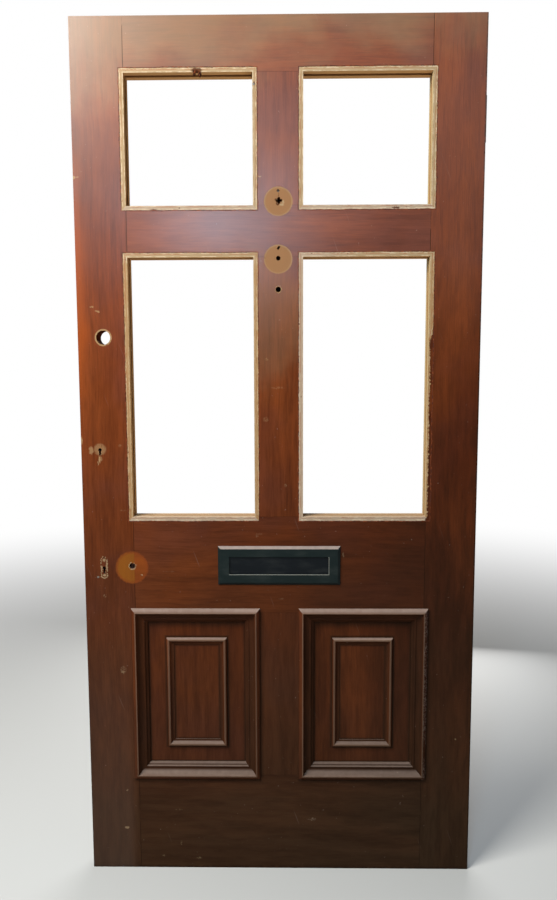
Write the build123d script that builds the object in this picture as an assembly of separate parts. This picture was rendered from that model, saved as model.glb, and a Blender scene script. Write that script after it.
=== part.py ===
from build123d import *
from math import cos, pi, sin
import os

os.makedirs("parts", exist_ok=True)

# All lengths in mm. X runs from the lock edge to the hinge edge, -Y is the outside face, Z is up.
# The origin is at the middle of the leaf's bottom edge.

# Frame of the leaf
LEAF_THICKNESS = 44.0
STILE_WIDTH = 117.0
MUNTIN_WIDTH = 112.0
OPENING_WIDTH = 284.0
BOTTOM_RAIL_HEIGHT = 240.0
PANEL_OPENING_HEIGHT = 403.0
LOCK_RAIL_HEIGHT = 230.0
TALL_LIGHT_HEIGHT = 592.0
FRIEZE_RAIL_HEIGHT = 113.0
SQUARE_LIGHT_HEIGHT = 284.0
TOP_RAIL_HEIGHT = 119.0

# Plough groove, tenons and wedges
GROOVE_WIDTH = 12.0
GROOVE_DEPTH = 9.0
TENON_INSET = 20.0
TOP_HAUNCH = 40.0
DOUBLE_TENON_GAP = 55.0
STUB_TENON_LENGTH = 45.0
WEDGE_LENGTH = 76.0
WEDGE_THICKNESS = 6.0

# Panels and their mouldings
PANEL_EXPANSION_GAP = 0.5
BOLECTION_OVERLAP = 10.5
BOLECTION_REACH = 26.0
BOLECTION_PROUD = 9.0
BOLECTION_SIDE = 2.0
BOLECTION_SWELL = 0.9
BOLECTION_CROWN = 1.4
BOLECTION_COVE_END = 15.0
BOLECTION_COVE_SUNK = 5.0
BOLECTION_REED = 5.5
BOLECTION_REED_SWELL = 1.3
BOLECTION_REED_FALL = 3.6
BOLECTION_TOE = 4.0
FIELD_MOULDING_INSET_X = 70.0
FIELD_MOULDING_INSET_Z = 66.0
FIELD_MOULDING_WIDTH = 17.0
FIELD_MOULDING_PROUD = 8.0
BACK_MOULDING_WIDTH = 18.0
BACK_MOULDING_SUNK = 2.0
BACK_MOULDING_TOE = 3.0
BACK_MOULDING_STEP = 1.5
BACK_MOULDING_LAND = 2.0

# Letter plate, set in the lock rail
PLATE_LENGTH = 286.0
PLATE_HEIGHT = 92.0
PLATE_THICKNESS = 7.0
PLATE_RIM = 2.0
PLATE_BEVEL = 6.0
PLATE_DROP = 0.5
APERTURE_LENGTH = 232.0
APERTURE_HEIGHT = 41.0
APERTURE_CHAMFER = 1.2
POCKET_DEPTH = 2.5
FLAP_THICKNESS = 3.0
FLAP_OVERLAP = 3.5
FLAP_CLEARANCE = 0.3
FLAP_BARREL_RADIUS = 4.0
FLAP_PIN_RADIUS = 2.0
FLAP_PIN_CLEARANCE = 0.05
FLAP_BARREL_SPACE = 34.0
FLAP_BARREL_LAP = 1.5
POCKET_MARGIN = 1.0
LUG_THICKNESS = 3.5
SLOT_MARGIN = 1.5
SPRING_WIRE_RADIUS = 0.5
SPRING_COIL_RADIUS = 3.1
SPRING_TURNS = 4
SPRING_BENDS_A_TURN = 16
SPRING_PITCH = 1.6
SPRING_LEG = 22.0
SPRING_REST_GAP = 0.6
PLATE_BOLT_RADIUS = 2.5
PLATE_BOLT_INSET = 8.0
PLATE_BOLT_HOLE_RADIUS = 3.5
PLATE_BOLT_GRIP = 4.5
WASHER_WIDTH = 14.0
WASHER_THICKNESS = 1.2
NUT_WIDTH = 9.5
NUT_THICKNESS = 5.0
BOLT_END = 3.0

# Cast butt hinge on the hinge edge, folded shut
HINGE_HEIGHT = 100.0
HINGE_TOP_OFFSET = 168.0
HINGE_LEAF_WIDTH = 38.0
HINGE_LEAF_THICKNESS = 3.0
HINGE_LEAF_GAP = 1.0
KNUCKLE_RADIUS = 6.0
KNUCKLE_COUNT = 3
KNUCKLE_END_GAP = 0.3
KNUCKLE_FACE_GAP = 0.3
HINGE_PIN_RADIUS = 3.0
HINGE_PIN_CLEARANCE = 0.05
HINGE_PIN_TIP = 1.5
HINGE_SCREW_RADIUS = 2.3
HINGE_SCREW_HEAD_RADIUS = 4.4
HINGE_SCREW_LENGTH = 30.0
HINGE_SCREW_SLOT = 1.0
HINGE_SCREW_SPACING = 72.0
HINGE_NEAR_SETBACK = 20.0
HINGE_FAR_SETBACK = 29.0
LOWER_HINGE_DROP = 5.0
OLD_SCREW_HOLE_DEPTH = 24.0

# Bare holes of ironmongery that is gone, measured from the lock edge and the floor or a rail
LATCH_BACKSET = 58.0
LATCH_HEIGHT = 1287.0
LATCH_HOLE_RADIUS = 16.0
UPPER_KEYHOLE_BACKSET = 43.5
UPPER_KEYHOLE_HEIGHT = 1030.0
LOWER_KEYHOLE_BACKSET = 46.0
LOWER_KEYHOLE_DROP = 7.5
KEYHOLE_RADIUS = 4.0
KEYHOLE_SLOT_WIDTH = 4.4
KEYHOLE_SLOT_DROP = 12.5
SPINDLE_BACKSET = 112.0
SPINDLE_DROP = 2.5
SPINDLE_HOLE_RADIUS = 7.0
BLIND_HOLE_DEPTH = 38.0
VIEWER_HOLE_DROP = 72.0
VIEWER_HOLE_RADIUS = 6.0
KNOCKER_STUD_RISE = 31.0
KNOCKER_STUD_RADIUS = 3.0
CROSS_HOLE_RISE = 10.0
CROSS_HOLE_SHIFT = 2.0
CROSS_HOLE_SPAN = 14.0
CROSS_HOLE_ARM = 5.5
SLIT_RISE = 20.0
SLIT_SHIFT = 1.0
SLIT_LENGTH = 8.0
SLIT_WIDTH = 4.5
SLIT_ANGLE = 35.0
LOWER_STUD_DROP = 3.0
LOWER_STUD_RADIUS = 5.0
PLUG_HOLE_RISE = 16.5
PLUG_HOLE_RADIUS = 1.6
PLUG_HOLE_DEPTH = 14.0
NAIL_WIDTH = 2.0
NAIL_HEAD_WIDTH = 4.0
NAIL_HEAD_THICKNESS = 0.8
NAIL_LENGTH = 22.0
STILE_NAIL_BACKSET = 31.0
STILE_NAIL_DROP = 29.0
MUNTIN_NAIL_INSET = 3.0
MUNTIN_NAIL_DROP = 26.0

# Cutting bodies run this far past the faces they open
OVERRUN = 1.0

# Places that follow from the sizes above
HALF_THICK = LEAF_THICKNESS / 2
FRONT = -HALF_THICK
BACK = HALF_THICK
HALF_GROOVE = GROOVE_WIDTH / 2
HALF_MUNTIN = MUNTIN_WIDTH / 2
OPENING_CENTRE = HALF_MUNTIN + OPENING_WIDTH / 2
SHOULDER = HALF_MUNTIN + OPENING_WIDTH
EDGE = SHOULDER + STILE_WIDTH
Z_PANEL_LOW = BOTTOM_RAIL_HEIGHT
Z_PANEL_HIGH = Z_PANEL_LOW + PANEL_OPENING_HEIGHT
Z_TALL_LOW = Z_PANEL_HIGH + LOCK_RAIL_HEIGHT
Z_TALL_HIGH = Z_TALL_LOW + TALL_LIGHT_HEIGHT
Z_SQUARE_LOW = Z_TALL_HIGH + FRIEZE_RAIL_HEIGHT
Z_SQUARE_HIGH = Z_SQUARE_LOW + SQUARE_LIGHT_HEIGHT
Z_TOP = Z_SQUARE_HIGH + TOP_RAIL_HEIGHT
Z_LOCK_RAIL = (Z_PANEL_HIGH + Z_TALL_LOW) / 2
THROUGH = (FRONT - OVERRUN, BACK + OVERRUN)
BLIND = (FRONT - OVERRUN, FRONT + BLIND_HOLE_DEPTH)


def block(x0, x1, y0, y1, z0, z1):
    centre = Pos((x0 + x1) / 2, (y0 + y1) / 2, (z0 + z1) / 2)
    return centre * Box(x1 - x0, y1 - y0, z1 - z0)


def rod_y(x, z, radius, y0, y1):
    return Pos(x, (y0 + y1) / 2, z) * Rot(90, 0, 0) * Cylinder(radius, y1 - y0)


def square_rod(x, z, width, y0, y1):
    half = width / 2
    return block(x - half, x + half, y0, y1, z - half, z + half)


def rod_x(y, z, radius, x0, x1):
    return Pos((x0 + x1) / 2, y, z) * Rot(0, 90, 0) * Cylinder(radius, x1 - x0)


def rod_z(x, y, radius, z0, z1):
    return Pos(x, y, (z0 + z1) / 2) * Cylinder(radius, z1 - z0)


def save(node, *solids):
    shape = solids[0] if len(solids) == 1 else Compound(children=list(solids))
    shape.label = node
    export_step(shape, f"parts/{node}.step")


# Tenons: each rail's spans in Z, one tenon or two
def single_tenon(z0, z1):
    return [(z0, z1)]


def double_tenon(z0, z1):
    half = (z1 - z0 - DOUBLE_TENON_GAP) / 2
    return [(z0, z0 + half), (z1 - half, z1)]


RAILS = {
    "bottom_rail": (0.0, Z_PANEL_LOW),
    "lock_rail": (Z_PANEL_HIGH, Z_TALL_LOW),
    "frieze_rail": (Z_TALL_HIGH, Z_SQUARE_LOW),
    "top_rail": (Z_SQUARE_HIGH, Z_TOP),
}
TENONS = {
    "bottom_rail": double_tenon(TENON_INSET, Z_PANEL_LOW - TENON_INSET),
    "lock_rail": double_tenon(Z_PANEL_HIGH + TENON_INSET, Z_TALL_LOW - TENON_INSET),
    "frieze_rail": single_tenon(Z_TALL_HIGH + TENON_INSET, Z_SQUARE_LOW - TENON_INSET),
    "top_rail": single_tenon(Z_SQUARE_HIGH + TENON_INSET, Z_TOP - TOP_HAUNCH),
}


def haunch_span(name):
    z0, z1 = RAILS[name]
    low = z0 if name == "bottom_rail" else z0 + GROOVE_DEPTH
    high = z1 if name == "top_rail" else z1 - GROOVE_DEPTH
    return low, high


def wedge(side, z_tenon, up):
    # A wedge is thick at the leaf's edge and runs out inside the mortice, over or under its tenon
    grow = WEDGE_THICKNESS if up else -WEDGE_THICKNESS
    outline = Polyline(
        (side * EDGE, -HALF_GROOVE, z_tenon),
        (side * EDGE, -HALF_GROOVE, z_tenon + grow),
        (side * (EDGE - WEDGE_LENGTH), -HALF_GROOVE, z_tenon),
        close=True,
    )
    return extrude(make_face(outline), amount=GROOVE_WIDTH, dir=(0, 1, 0))


WEDGES = {side: [] for side in (-1, 1)}
for spans in TENONS.values():
    for low, high in spans:
        for side in (-1, 1):
            WEDGES[side].append(wedge(side, low, False))
            WEDGES[side].append(wedge(side, high, True))


# Holes through the leaf, or blind where the photograph shows them dark
def keyhole(x, z):
    eye = rod_y(x, z, KEYHOLE_RADIUS, *THROUGH)
    half = KEYHOLE_SLOT_WIDTH / 2
    return eye + block(x - half, x + half, *THROUGH, z - KEYHOLE_SLOT_DROP, z)


def cross_hole(x, z):
    half = CROSS_HOLE_SPAN / 2
    arm = CROSS_HOLE_ARM / 2
    upright = block(x - arm, x + arm, *BLIND, z - half, z + half)
    return upright + block(x - half, x + half, *BLIND, z - arm, z + arm)


latch_hole = rod_y(-EDGE + LATCH_BACKSET, LATCH_HEIGHT, LATCH_HOLE_RADIUS, *THROUGH)
upper_keyhole = keyhole(-EDGE + UPPER_KEYHOLE_BACKSET, UPPER_KEYHOLE_HEIGHT)
lower_keyhole = keyhole(-EDGE + LOWER_KEYHOLE_BACKSET, Z_LOCK_RAIL - LOWER_KEYHOLE_DROP)
spindle_z = Z_LOCK_RAIL - SPINDLE_DROP
spindle_hole = rod_y(-EDGE + SPINDLE_BACKSET, spindle_z, SPINDLE_HOLE_RADIUS, *THROUGH)
plug_hole = rod_y(
    -EDGE + LOWER_KEYHOLE_BACKSET,
    Z_LOCK_RAIL + PLUG_HOLE_RISE,
    PLUG_HOLE_RADIUS,
    FRONT - OVERRUN,
    FRONT + PLUG_HOLE_DEPTH,
)
viewer_hole = rod_y(0, Z_TALL_HIGH - VIEWER_HOLE_DROP, VIEWER_HOLE_RADIUS, *BLIND)
knocker_stud_hole = rod_y(0, Z_SQUARE_LOW + KNOCKER_STUD_RISE, KNOCKER_STUD_RADIUS, *THROUGH)
knocker_cross_hole = cross_hole(CROSS_HOLE_SHIFT, Z_SQUARE_LOW + CROSS_HOLE_RISE)
slit_box = block(-SLIT_WIDTH / 2, SLIT_WIDTH / 2, *BLIND, -SLIT_LENGTH / 2, SLIT_LENGTH / 2)
slit = Pos(SLIT_SHIFT, 0, Z_TALL_HIGH + SLIT_RISE) * Rot(0, SLIT_ANGLE, 0) * slit_box
lower_stud_hole = rod_y(0, Z_TALL_HIGH - LOWER_STUD_DROP, LOWER_STUD_RADIUS, *BLIND)


def nail(x, z):
    # A cut nail has a square head and a square shank
    head = square_rod(x, z, NAIL_HEAD_WIDTH, FRONT - NAIL_HEAD_THICKNESS, FRONT)
    return head + square_rod(x, z, NAIL_WIDTH, FRONT, FRONT + NAIL_LENGTH)


stile_nail = nail(-EDGE + STILE_NAIL_BACKSET, Z_LOCK_RAIL - STILE_NAIL_DROP)
muntin_nail = nail(-HALF_MUNTIN + MUNTIN_NAIL_INSET, Z_SQUARE_HIGH - MUNTIN_NAIL_DROP)

# Hinge places
HINGE_Z1 = Z_TOP - HINGE_TOP_OFFSET
HINGE_Z0 = HINGE_Z1 - HINGE_HEIGHT
HINGE_MID = (HINGE_Z0 + HINGE_Z1) / 2
LOWER_HINGE_Z0 = Z_PANEL_LOW - LOWER_HINGE_DROP
PIN_X = EDGE + HINGE_LEAF_GAP / 2
PIN_Y = BACK + KNUCKLE_FACE_GAP + KNUCKLE_RADIUS
LEAF_END_Y = PIN_Y - HINGE_LEAF_WIDTH

# Three screws a leaf. The free leaf's are staggered the other way, so no two heads meet when it folds.
def hinge_holes(outer_setback, middle_setback):
    half = HINGE_SCREW_SPACING / 2
    return [(-half, outer_setback), (0.0, middle_setback), (half, outer_setback)]


DOOR_LEAF_HOLES = hinge_holes(HINGE_NEAR_SETBACK, HINGE_FAR_SETBACK)
FREE_LEAF_HOLES = hinge_holes(HINGE_FAR_SETBACK, HINGE_NEAR_SETBACK)


def hinge_gain(z0):
    outer = EDGE + OVERRUN
    return block(EDGE - HINGE_LEAF_THICKNESS, outer, LEAF_END_Y, BACK + OVERRUN, z0, z0 + HINGE_HEIGHT)


def screw_holes(z_mid, depth):
    floor_x = EDGE - HINGE_LEAF_THICKNESS
    return [
        rod_x(PIN_Y - setback, z_mid + dz, HINGE_SCREW_RADIUS, floor_x - depth, floor_x)
        for dz, setback in DOOR_LEAF_HOLES
    ]


# Stiles
def stile(side):
    inner, outer = sorted((side * SHOULDER, side * EDGE))
    body = block(inner, outer, FRONT, BACK, 0, Z_TOP)
    groove_end = side * (SHOULDER + GROOVE_DEPTH)
    g0, g1 = sorted((side * (SHOULDER - OVERRUN), groove_end))
    cuts = [block(g0, g1, -HALF_GROOVE, HALF_GROOVE, -OVERRUN, Z_TOP + OVERRUN)]
    m0, m1 = sorted((groove_end, side * (EDGE + OVERRUN)))
    for spans in TENONS.values():
        for low, high in spans:
            cuts.append(block(m0, m1, -HALF_GROOVE, HALF_GROOVE, low, high))
    return body - cuts - WEDGES[side]


lock_stile = stile(-1) - [latch_hole, upper_keyhole, lower_keyhole, spindle_hole, plug_hole, stile_nail]
save("lock_stile", lock_stile)

screw_depth = HINGE_SCREW_LENGTH - HINGE_LEAF_THICKNESS
hinge_cuts = [hinge_gain(HINGE_Z0), hinge_gain(LOWER_HINGE_Z0)]
hinge_cuts += screw_holes(HINGE_MID, screw_depth)
hinge_cuts += screw_holes(LOWER_HINGE_Z0 + HINGE_HEIGHT / 2, OLD_SCREW_HOLE_DEPTH)
hinge_stile = stile(1) - hinge_cuts
save("hinge_stile", hinge_stile)

# Letter plate places
PLATE_Z = Z_LOCK_RAIL - PLATE_DROP
PLATE_FRONT = FRONT - PLATE_THICKNESS
POCKET_FLOOR = FRONT - POCKET_DEPTH
HALF_APERTURE = APERTURE_LENGTH / 2
APERTURE_LOW = PLATE_Z - APERTURE_HEIGHT / 2
APERTURE_HIGH = PLATE_Z + APERTURE_HEIGHT / 2
FLAP_HALF = HALF_APERTURE + FLAP_OVERLAP
FLAP_LOW = APERTURE_LOW - FLAP_OVERLAP
FLAP_FRONT = POCKET_FLOOR + FLAP_CLEARANCE
FLAP_PIN_Y = FLAP_FRONT + FLAP_BARREL_RADIUS
FLAP_PIN_Z = APERTURE_HIGH + FLAP_OVERLAP + FLAP_BARREL_RADIUS - FLAP_BARREL_LAP
LUG_IN = FLAP_HALF + FLAP_CLEARANCE
LUG_OUT = LUG_IN + LUG_THICKNESS
SLOT_HALF = LUG_OUT + SLOT_MARGIN
SLOT_LOW = FLAP_LOW - SLOT_MARGIN
SLOT_HIGH = FLAP_PIN_Z + FLAP_BARREL_RADIUS + SLOT_MARGIN
PLATE_BOLT_X = PLATE_LENGTH / 2 - PLATE_BOLT_INSET


# Rails
def mortice_z(z, up):
    # The mortice of a muntin's stub tenon, below the plough groove of a rail
    z0, z1 = (z + GROOVE_DEPTH, z + STUB_TENON_LENGTH) if up else (z - STUB_TENON_LENGTH, z - GROOVE_DEPTH)
    half = HALF_MUNTIN - GROOVE_DEPTH
    return block(-half, half, -HALF_GROOVE, HALF_GROOVE, z0, z1)


def rail(name):
    z0, z1 = RAILS[name]
    body = block(-SHOULDER, SHOULDER, FRONT, BACK, z0, z1)
    cuts = []
    end = SHOULDER + OVERRUN
    if name != "bottom_rail":
        cuts.append(block(-end, end, -HALF_GROOVE, HALF_GROOVE, z0 - OVERRUN, z0 + GROOVE_DEPTH))
        cuts.append(mortice_z(z0, True))
    if name != "top_rail":
        cuts.append(block(-end, end, -HALF_GROOVE, HALF_GROOVE, z1 - GROOVE_DEPTH, z1 + OVERRUN))
        cuts.append(mortice_z(z1, False))
    body = body - cuts
    low, high = haunch_span(name)
    for side in (-1, 1):
        h0, h1 = sorted((side * SHOULDER, side * (SHOULDER + GROOVE_DEPTH)))
        body = body + block(h0, h1, -HALF_GROOVE, HALF_GROOVE, low, high)
        t0, t1 = sorted((side * (SHOULDER + GROOVE_DEPTH), side * EDGE))
        for t_low, t_high in TENONS[name]:
            body = body + block(t0, t1, -HALF_GROOVE, HALF_GROOVE, t_low, t_high)
    return body


letter_slot = block(-SLOT_HALF, SLOT_HALF, *THROUGH, SLOT_LOW, SLOT_HIGH)
bolt_holes = [
    rod_y(side * PLATE_BOLT_X, PLATE_Z, PLATE_BOLT_HOLE_RADIUS, *THROUGH)
    for side in (-1, 1)
]
save("bottom_rail", rail("bottom_rail"))
save("lock_rail", rail("lock_rail") - [letter_slot, spindle_hole, stile_nail] - bolt_holes)
save("frieze_rail", rail("frieze_rail") - [slit, lower_stud_hole])
save("top_rail", rail("top_rail"))


# Muntins, stub-tenoned between the rails
def muntin(z0, z1):
    body = block(-HALF_MUNTIN, HALF_MUNTIN, FRONT, BACK, z0, z1)
    inner = HALF_MUNTIN - GROOVE_DEPTH
    for side in (-1, 1):
        g0, g1 = sorted((side * inner, side * (HALF_MUNTIN + OVERRUN)))
        body = body - block(g0, g1, -HALF_GROOVE, HALF_GROOVE, z0 - OVERRUN, z1 + OVERRUN)
    stub = block(-inner, inner, -HALF_GROOVE, HALF_GROOVE, z0 - STUB_TENON_LENGTH, z1 + STUB_TENON_LENGTH)
    return body + stub


save("lower_muntin", muntin(Z_PANEL_LOW, Z_PANEL_HIGH))
save("middle_muntin", muntin(Z_TALL_LOW, Z_TALL_HIGH) - [viewer_hole, lower_stud_hole, slit])
upper_holes = [knocker_stud_hole, knocker_cross_hole, muntin_nail]
save("upper_muntin", muntin(Z_SQUARE_LOW, Z_SQUARE_HIGH) - upper_holes)

save("tenon_wedges", *WEDGES[-1], *WEDGES[1])
save("leftover_nails", stile_nail, muntin_nail)

# Panels, loose in their grooves
PANEL_REACH = GROOVE_DEPTH - PANEL_EXPANSION_GAP
PANEL_HALF = OPENING_WIDTH / 2 + PANEL_REACH
for name, side in (("left", -1), ("right", 1)):
    x = side * OPENING_CENTRE
    z0 = Z_PANEL_LOW - PANEL_REACH
    z1 = Z_PANEL_HIGH + PANEL_REACH
    save(f"{name}_panel", block(x - PANEL_HALF, x + PANEL_HALF, -HALF_GROOVE, HALF_GROOVE, z0, z1))


# Mouldings. A section lies in YZ with Z across the moulding from the edge it follows, and is
# run along X, cut to 45 degrees at both ends and turned to its side of the rectangle.
def bolection_section():
    face = -HALF_GROOVE
    crown = FRONT - BOLECTION_PROUD
    outer = -BOLECTION_OVERLAP
    side = FRONT - BOLECTION_SIDE
    half_crown = BOLECTION_CROWN / 2
    foot = FRONT + BOLECTION_COVE_SUNK
    drop = foot - crown
    run = BOLECTION_COVE_END - half_crown
    reed_end = BOLECTION_COVE_END + BOLECTION_REED
    step = foot + BOLECTION_REED_FALL
    reed_middle = BOLECTION_COVE_END + 0.45 * BOLECTION_REED
    toe = face - BOLECTION_TOE
    return [
        Line((face, 0), (FRONT, 0)),
        Line((FRONT, 0), (FRONT, outer)),
        Line((FRONT, outer), (side, outer)),
        ThreePointArc(
            (side, outer),
            ((side + crown) / 2 - BOLECTION_SWELL, (outer - half_crown) / 2 - BOLECTION_SWELL / 2),
            (crown, -half_crown),
        ),
        Line((crown, -half_crown), (crown, half_crown)),
        ThreePointArc(
            (crown, half_crown),
            (crown + 0.68 * drop, half_crown + 0.32 * run),
            (foot, BOLECTION_COVE_END),
        ),
        ThreePointArc(
            (foot, BOLECTION_COVE_END),
            (foot - BOLECTION_REED_SWELL / 2, reed_middle),
            (foot + BOLECTION_REED_FALL / 2, reed_end),
        ),
        Line((foot + BOLECTION_REED_FALL / 2, reed_end), (step, reed_end)),
        ThreePointArc(
            (step, reed_end),
            ((step + toe) / 2 - BOLECTION_REED_SWELL / 2, (reed_end + BOLECTION_REACH) / 2),
            (toe, BOLECTION_REACH),
        ),
        Line((toe, BOLECTION_REACH), (face, BOLECTION_REACH)),
        Line((face, BOLECTION_REACH), (face, 0)),
    ]


def field_section():
    face = -HALF_GROOVE
    crown = face - FIELD_MOULDING_PROUD
    width = FIELD_MOULDING_WIDTH
    return [
        Line((face, 0), (face - 0.45 * FIELD_MOULDING_PROUD, 0)),
        ThreePointArc(
            (face - 0.45 * FIELD_MOULDING_PROUD, 0),
            (crown + 0.08 * FIELD_MOULDING_PROUD, 0.16 * width),
            (crown, 0.32 * width),
        ),
        ThreePointArc(
            (crown, 0.32 * width),
            (crown + 0.12 * FIELD_MOULDING_PROUD, 0.46 * width),
            (crown + 0.40 * FIELD_MOULDING_PROUD, 0.54 * width),
        ),
        ThreePointArc(
            (crown + 0.40 * FIELD_MOULDING_PROUD, 0.54 * width),
            (crown + 0.70 * FIELD_MOULDING_PROUD, 0.68 * width),
            (crown + 0.80 * FIELD_MOULDING_PROUD, width),
        ),
        Line((crown + 0.80 * FIELD_MOULDING_PROUD, width), (face, width)),
        Line((face, width), (face, 0)),
    ]


def back_section():
    face = HALF_GROOVE
    top = BACK - BACK_MOULDING_SUNK
    toe = face + BACK_MOULDING_TOE
    width = BACK_MOULDING_WIDTH
    step = 0.18 * width
    sunk = top - BACK_MOULDING_STEP
    land = width - BACK_MOULDING_LAND
    return [
        Line((face, 0), (top, 0)),
        Line((top, 0), (top, step)),
        Line((top, step), (sunk, step)),
        ThreePointArc(
            (sunk, step),
            (sunk - 0.22 * (sunk - toe), step + 0.72 * (land - step)),
            (toe, land),
        ),
        Line((toe, land), (toe, width)),
        Line((toe, width), (face, width)),
        Line((face, width), (face, 0)),
    ]


def moulding(section, x0, x1, z0, z1, across0, across1):
    # Four mitred pieces round the rectangle x0..x1, z0..z1, for bottom, top, left and right
    face = make_face(Plane.YZ * Wire(section()))
    reach = 2 * LEAF_THICKNESS
    pieces = []
    turns = (
        (x1 - x0, (x0 + x1) / 2, z0, 0),
        (x1 - x0, (x0 + x1) / 2, z1, 180),
        (z1 - z0, x0, (z0 + z1) / 2, 90),
        (z1 - z0, x1, (z0 + z1) / 2, -90),
    )
    for length, x, z, turn in turns:
        half = length / 2
        bar = extrude(face, amount=half - across0 + OVERRUN, dir=(1, 0, 0), both=True)
        trapezium = Polyline(
            (-half + across0, -reach, across0),
            (half - across0, -reach, across0),
            (half - across1, -reach, across1),
            (-half + across1, -reach, across1),
            close=True,
        )
        mitre = extrude(make_face(trapezium), amount=2 * reach, dir=(0, 1, 0))
        pieces.append(Pos(x, 0, z) * Rot(0, turn, 0) * (bar & mitre))
    return pieces


for name, side in (("left", -1), ("right", 1)):
    x = side * OPENING_CENTRE
    x0 = x - OPENING_WIDTH / 2
    x1 = x + OPENING_WIDTH / 2
    runs = {
        "bolection": moulding(
            bolection_section, x0, x1, Z_PANEL_LOW, Z_PANEL_HIGH, -BOLECTION_OVERLAP, BOLECTION_REACH
        ),
        "field_moulding": moulding(
            field_section,
            x0 + FIELD_MOULDING_INSET_X,
            x1 - FIELD_MOULDING_INSET_X,
            Z_PANEL_LOW + FIELD_MOULDING_INSET_Z,
            Z_PANEL_HIGH - FIELD_MOULDING_INSET_Z,
            0,
            FIELD_MOULDING_WIDTH,
        ),
        "back_moulding": moulding(back_section, x0, x1, Z_PANEL_LOW, Z_PANEL_HIGH, 0, BACK_MOULDING_WIDTH),
    }
    for kind, pieces in runs.items():
        for place, piece in zip(("bottom", "top", "left", "right"), pieces):
            save(f"{name}_{kind}_{place}", piece)


# Letter plate: a bevelled casting with a flap pocket and two pin lugs on its back
def plate_outline(shrink):
    return Rectangle(PLATE_LENGTH - 2 * shrink, PLATE_HEIGHT - 2 * shrink)


def facing(y):
    return Plane(origin=(0, y, PLATE_Z), x_dir=(1, 0, 0), z_dir=(0, -1, 0))


rim = extrude(facing(FRONT) * plate_outline(0), amount=PLATE_RIM)
bevel_foot = facing(FRONT - PLATE_RIM) * plate_outline(0)
bevelled = loft([bevel_foot, facing(PLATE_FRONT) * plate_outline(PLATE_BEVEL)])
aperture_y = (PLATE_FRONT - OVERRUN, FRONT + OVERRUN)
aperture = block(-HALF_APERTURE, HALF_APERTURE, *aperture_y, APERTURE_LOW, APERTURE_HIGH)
mouth_edge = Rectangle(APERTURE_LENGTH + 2 * APERTURE_CHAMFER, APERTURE_HEIGHT + 2 * APERTURE_CHAMFER)
mouth_throat = Rectangle(APERTURE_LENGTH, APERTURE_HEIGHT)
mouth = loft([facing(PLATE_FRONT) * mouth_edge, facing(PLATE_FRONT + APERTURE_CHAMFER) * mouth_throat])
pocket_low = FLAP_LOW - POCKET_MARGIN
pocket_high = FLAP_PIN_Z + FLAP_BARREL_RADIUS + POCKET_MARGIN
pocket = block(-LUG_OUT, LUG_OUT, POCKET_FLOOR, FRONT + OVERRUN, pocket_low, pocket_high)
lug_low = FLAP_PIN_Z - FLAP_BARREL_RADIUS
lugs = [
    block(
        min(side * LUG_IN, side * LUG_OUT),
        max(side * LUG_IN, side * LUG_OUT),
        POCKET_FLOOR,
        FLAP_PIN_Y + FLAP_BARREL_RADIUS,
        lug_low,
        pocket_high,
    )
    for side in (-1, 1)
]
flap_pin = rod_x(FLAP_PIN_Y, FLAP_PIN_Z, FLAP_PIN_RADIUS, -LUG_OUT, LUG_OUT)
bolts = [
    rod_y(
        side * PLATE_BOLT_X,
        PLATE_Z,
        PLATE_BOLT_RADIUS,
        FRONT - PLATE_BOLT_GRIP,
        BACK + WASHER_THICKNESS + NUT_THICKNESS + BOLT_END,
    )
    for side in (-1, 1)
]
letter_plate = rim + bevelled - [aperture, mouth, pocket] + lugs - flap_pin - bolts
save("letter_plate", letter_plate)
save("flap_pin", flap_pin)
save("letter_plate_bolts", *bolts)

washers = []
nuts = []
for side in (-1, 1):
    x = side * PLATE_BOLT_X
    nut_seat = BACK + WASHER_THICKNESS
    bore = rod_y(x, PLATE_Z, PLATE_BOLT_RADIUS, BACK - OVERRUN, nut_seat + NUT_THICKNESS + OVERRUN)
    washers.append(square_rod(x, PLATE_Z, WASHER_WIDTH, BACK, nut_seat) - bore)
    nuts.append(square_rod(x, PLATE_Z, NUT_WIDTH, nut_seat, nut_seat + NUT_THICKNESS) - bore)
save("letter_plate_washers", *washers)
save("letter_plate_nuts", *nuts)

# Flap: a plate with a rolled barrel at each end of its top edge
flap = block(-FLAP_HALF, FLAP_HALF, FLAP_FRONT, FLAP_FRONT + FLAP_THICKNESS, FLAP_LOW, FLAP_PIN_Z)
gap_half = FLAP_BARREL_SPACE / 2
notch_low = FLAP_PIN_Z - FLAP_BARREL_RADIUS - OVERRUN
notch = block(-gap_half, gap_half, FLAP_FRONT - OVERRUN, FLAP_PIN_Y, notch_low, FLAP_PIN_Z + OVERRUN)
flap = flap - notch
for side in (-1, 1):
    b0, b1 = sorted((side * gap_half, side * FLAP_HALF))
    flap = flap + rod_x(FLAP_PIN_Y, FLAP_PIN_Z, FLAP_BARREL_RADIUS, b0, b1)
flap = flap - rod_x(FLAP_PIN_Y, FLAP_PIN_Z, FLAP_PIN_RADIUS + FLAP_PIN_CLEARANCE, -LUG_OUT, LUG_OUT)
save("letter_flap", flap)

# Spring: a coil round the pin between the barrels, one leg on the flap and one on the rail
coil_length = SPRING_TURNS * SPRING_PITCH
bend_count = SPRING_TURNS * SPRING_BENDS_A_TURN


def coil_point(i):
    turn = 2 * pi * i / SPRING_BENDS_A_TURN
    y = FLAP_PIN_Y + SPRING_COIL_RADIUS * cos(turn)
    z = FLAP_PIN_Z + SPRING_COIL_RADIUS * sin(turn)
    return (coil_length * (i / bend_count - 0.5), y, z)


def wire(*points):
    # A wire of short straight lengths with six flats, bent at each point
    path = Polyline(*points)
    section = Plane(origin=path @ 0, z_dir=path % 0) * RegularPolygon(SPRING_WIRE_RADIUS, 6)
    return sweep(section, path=path, transition=Transition.RIGHT)


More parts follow.
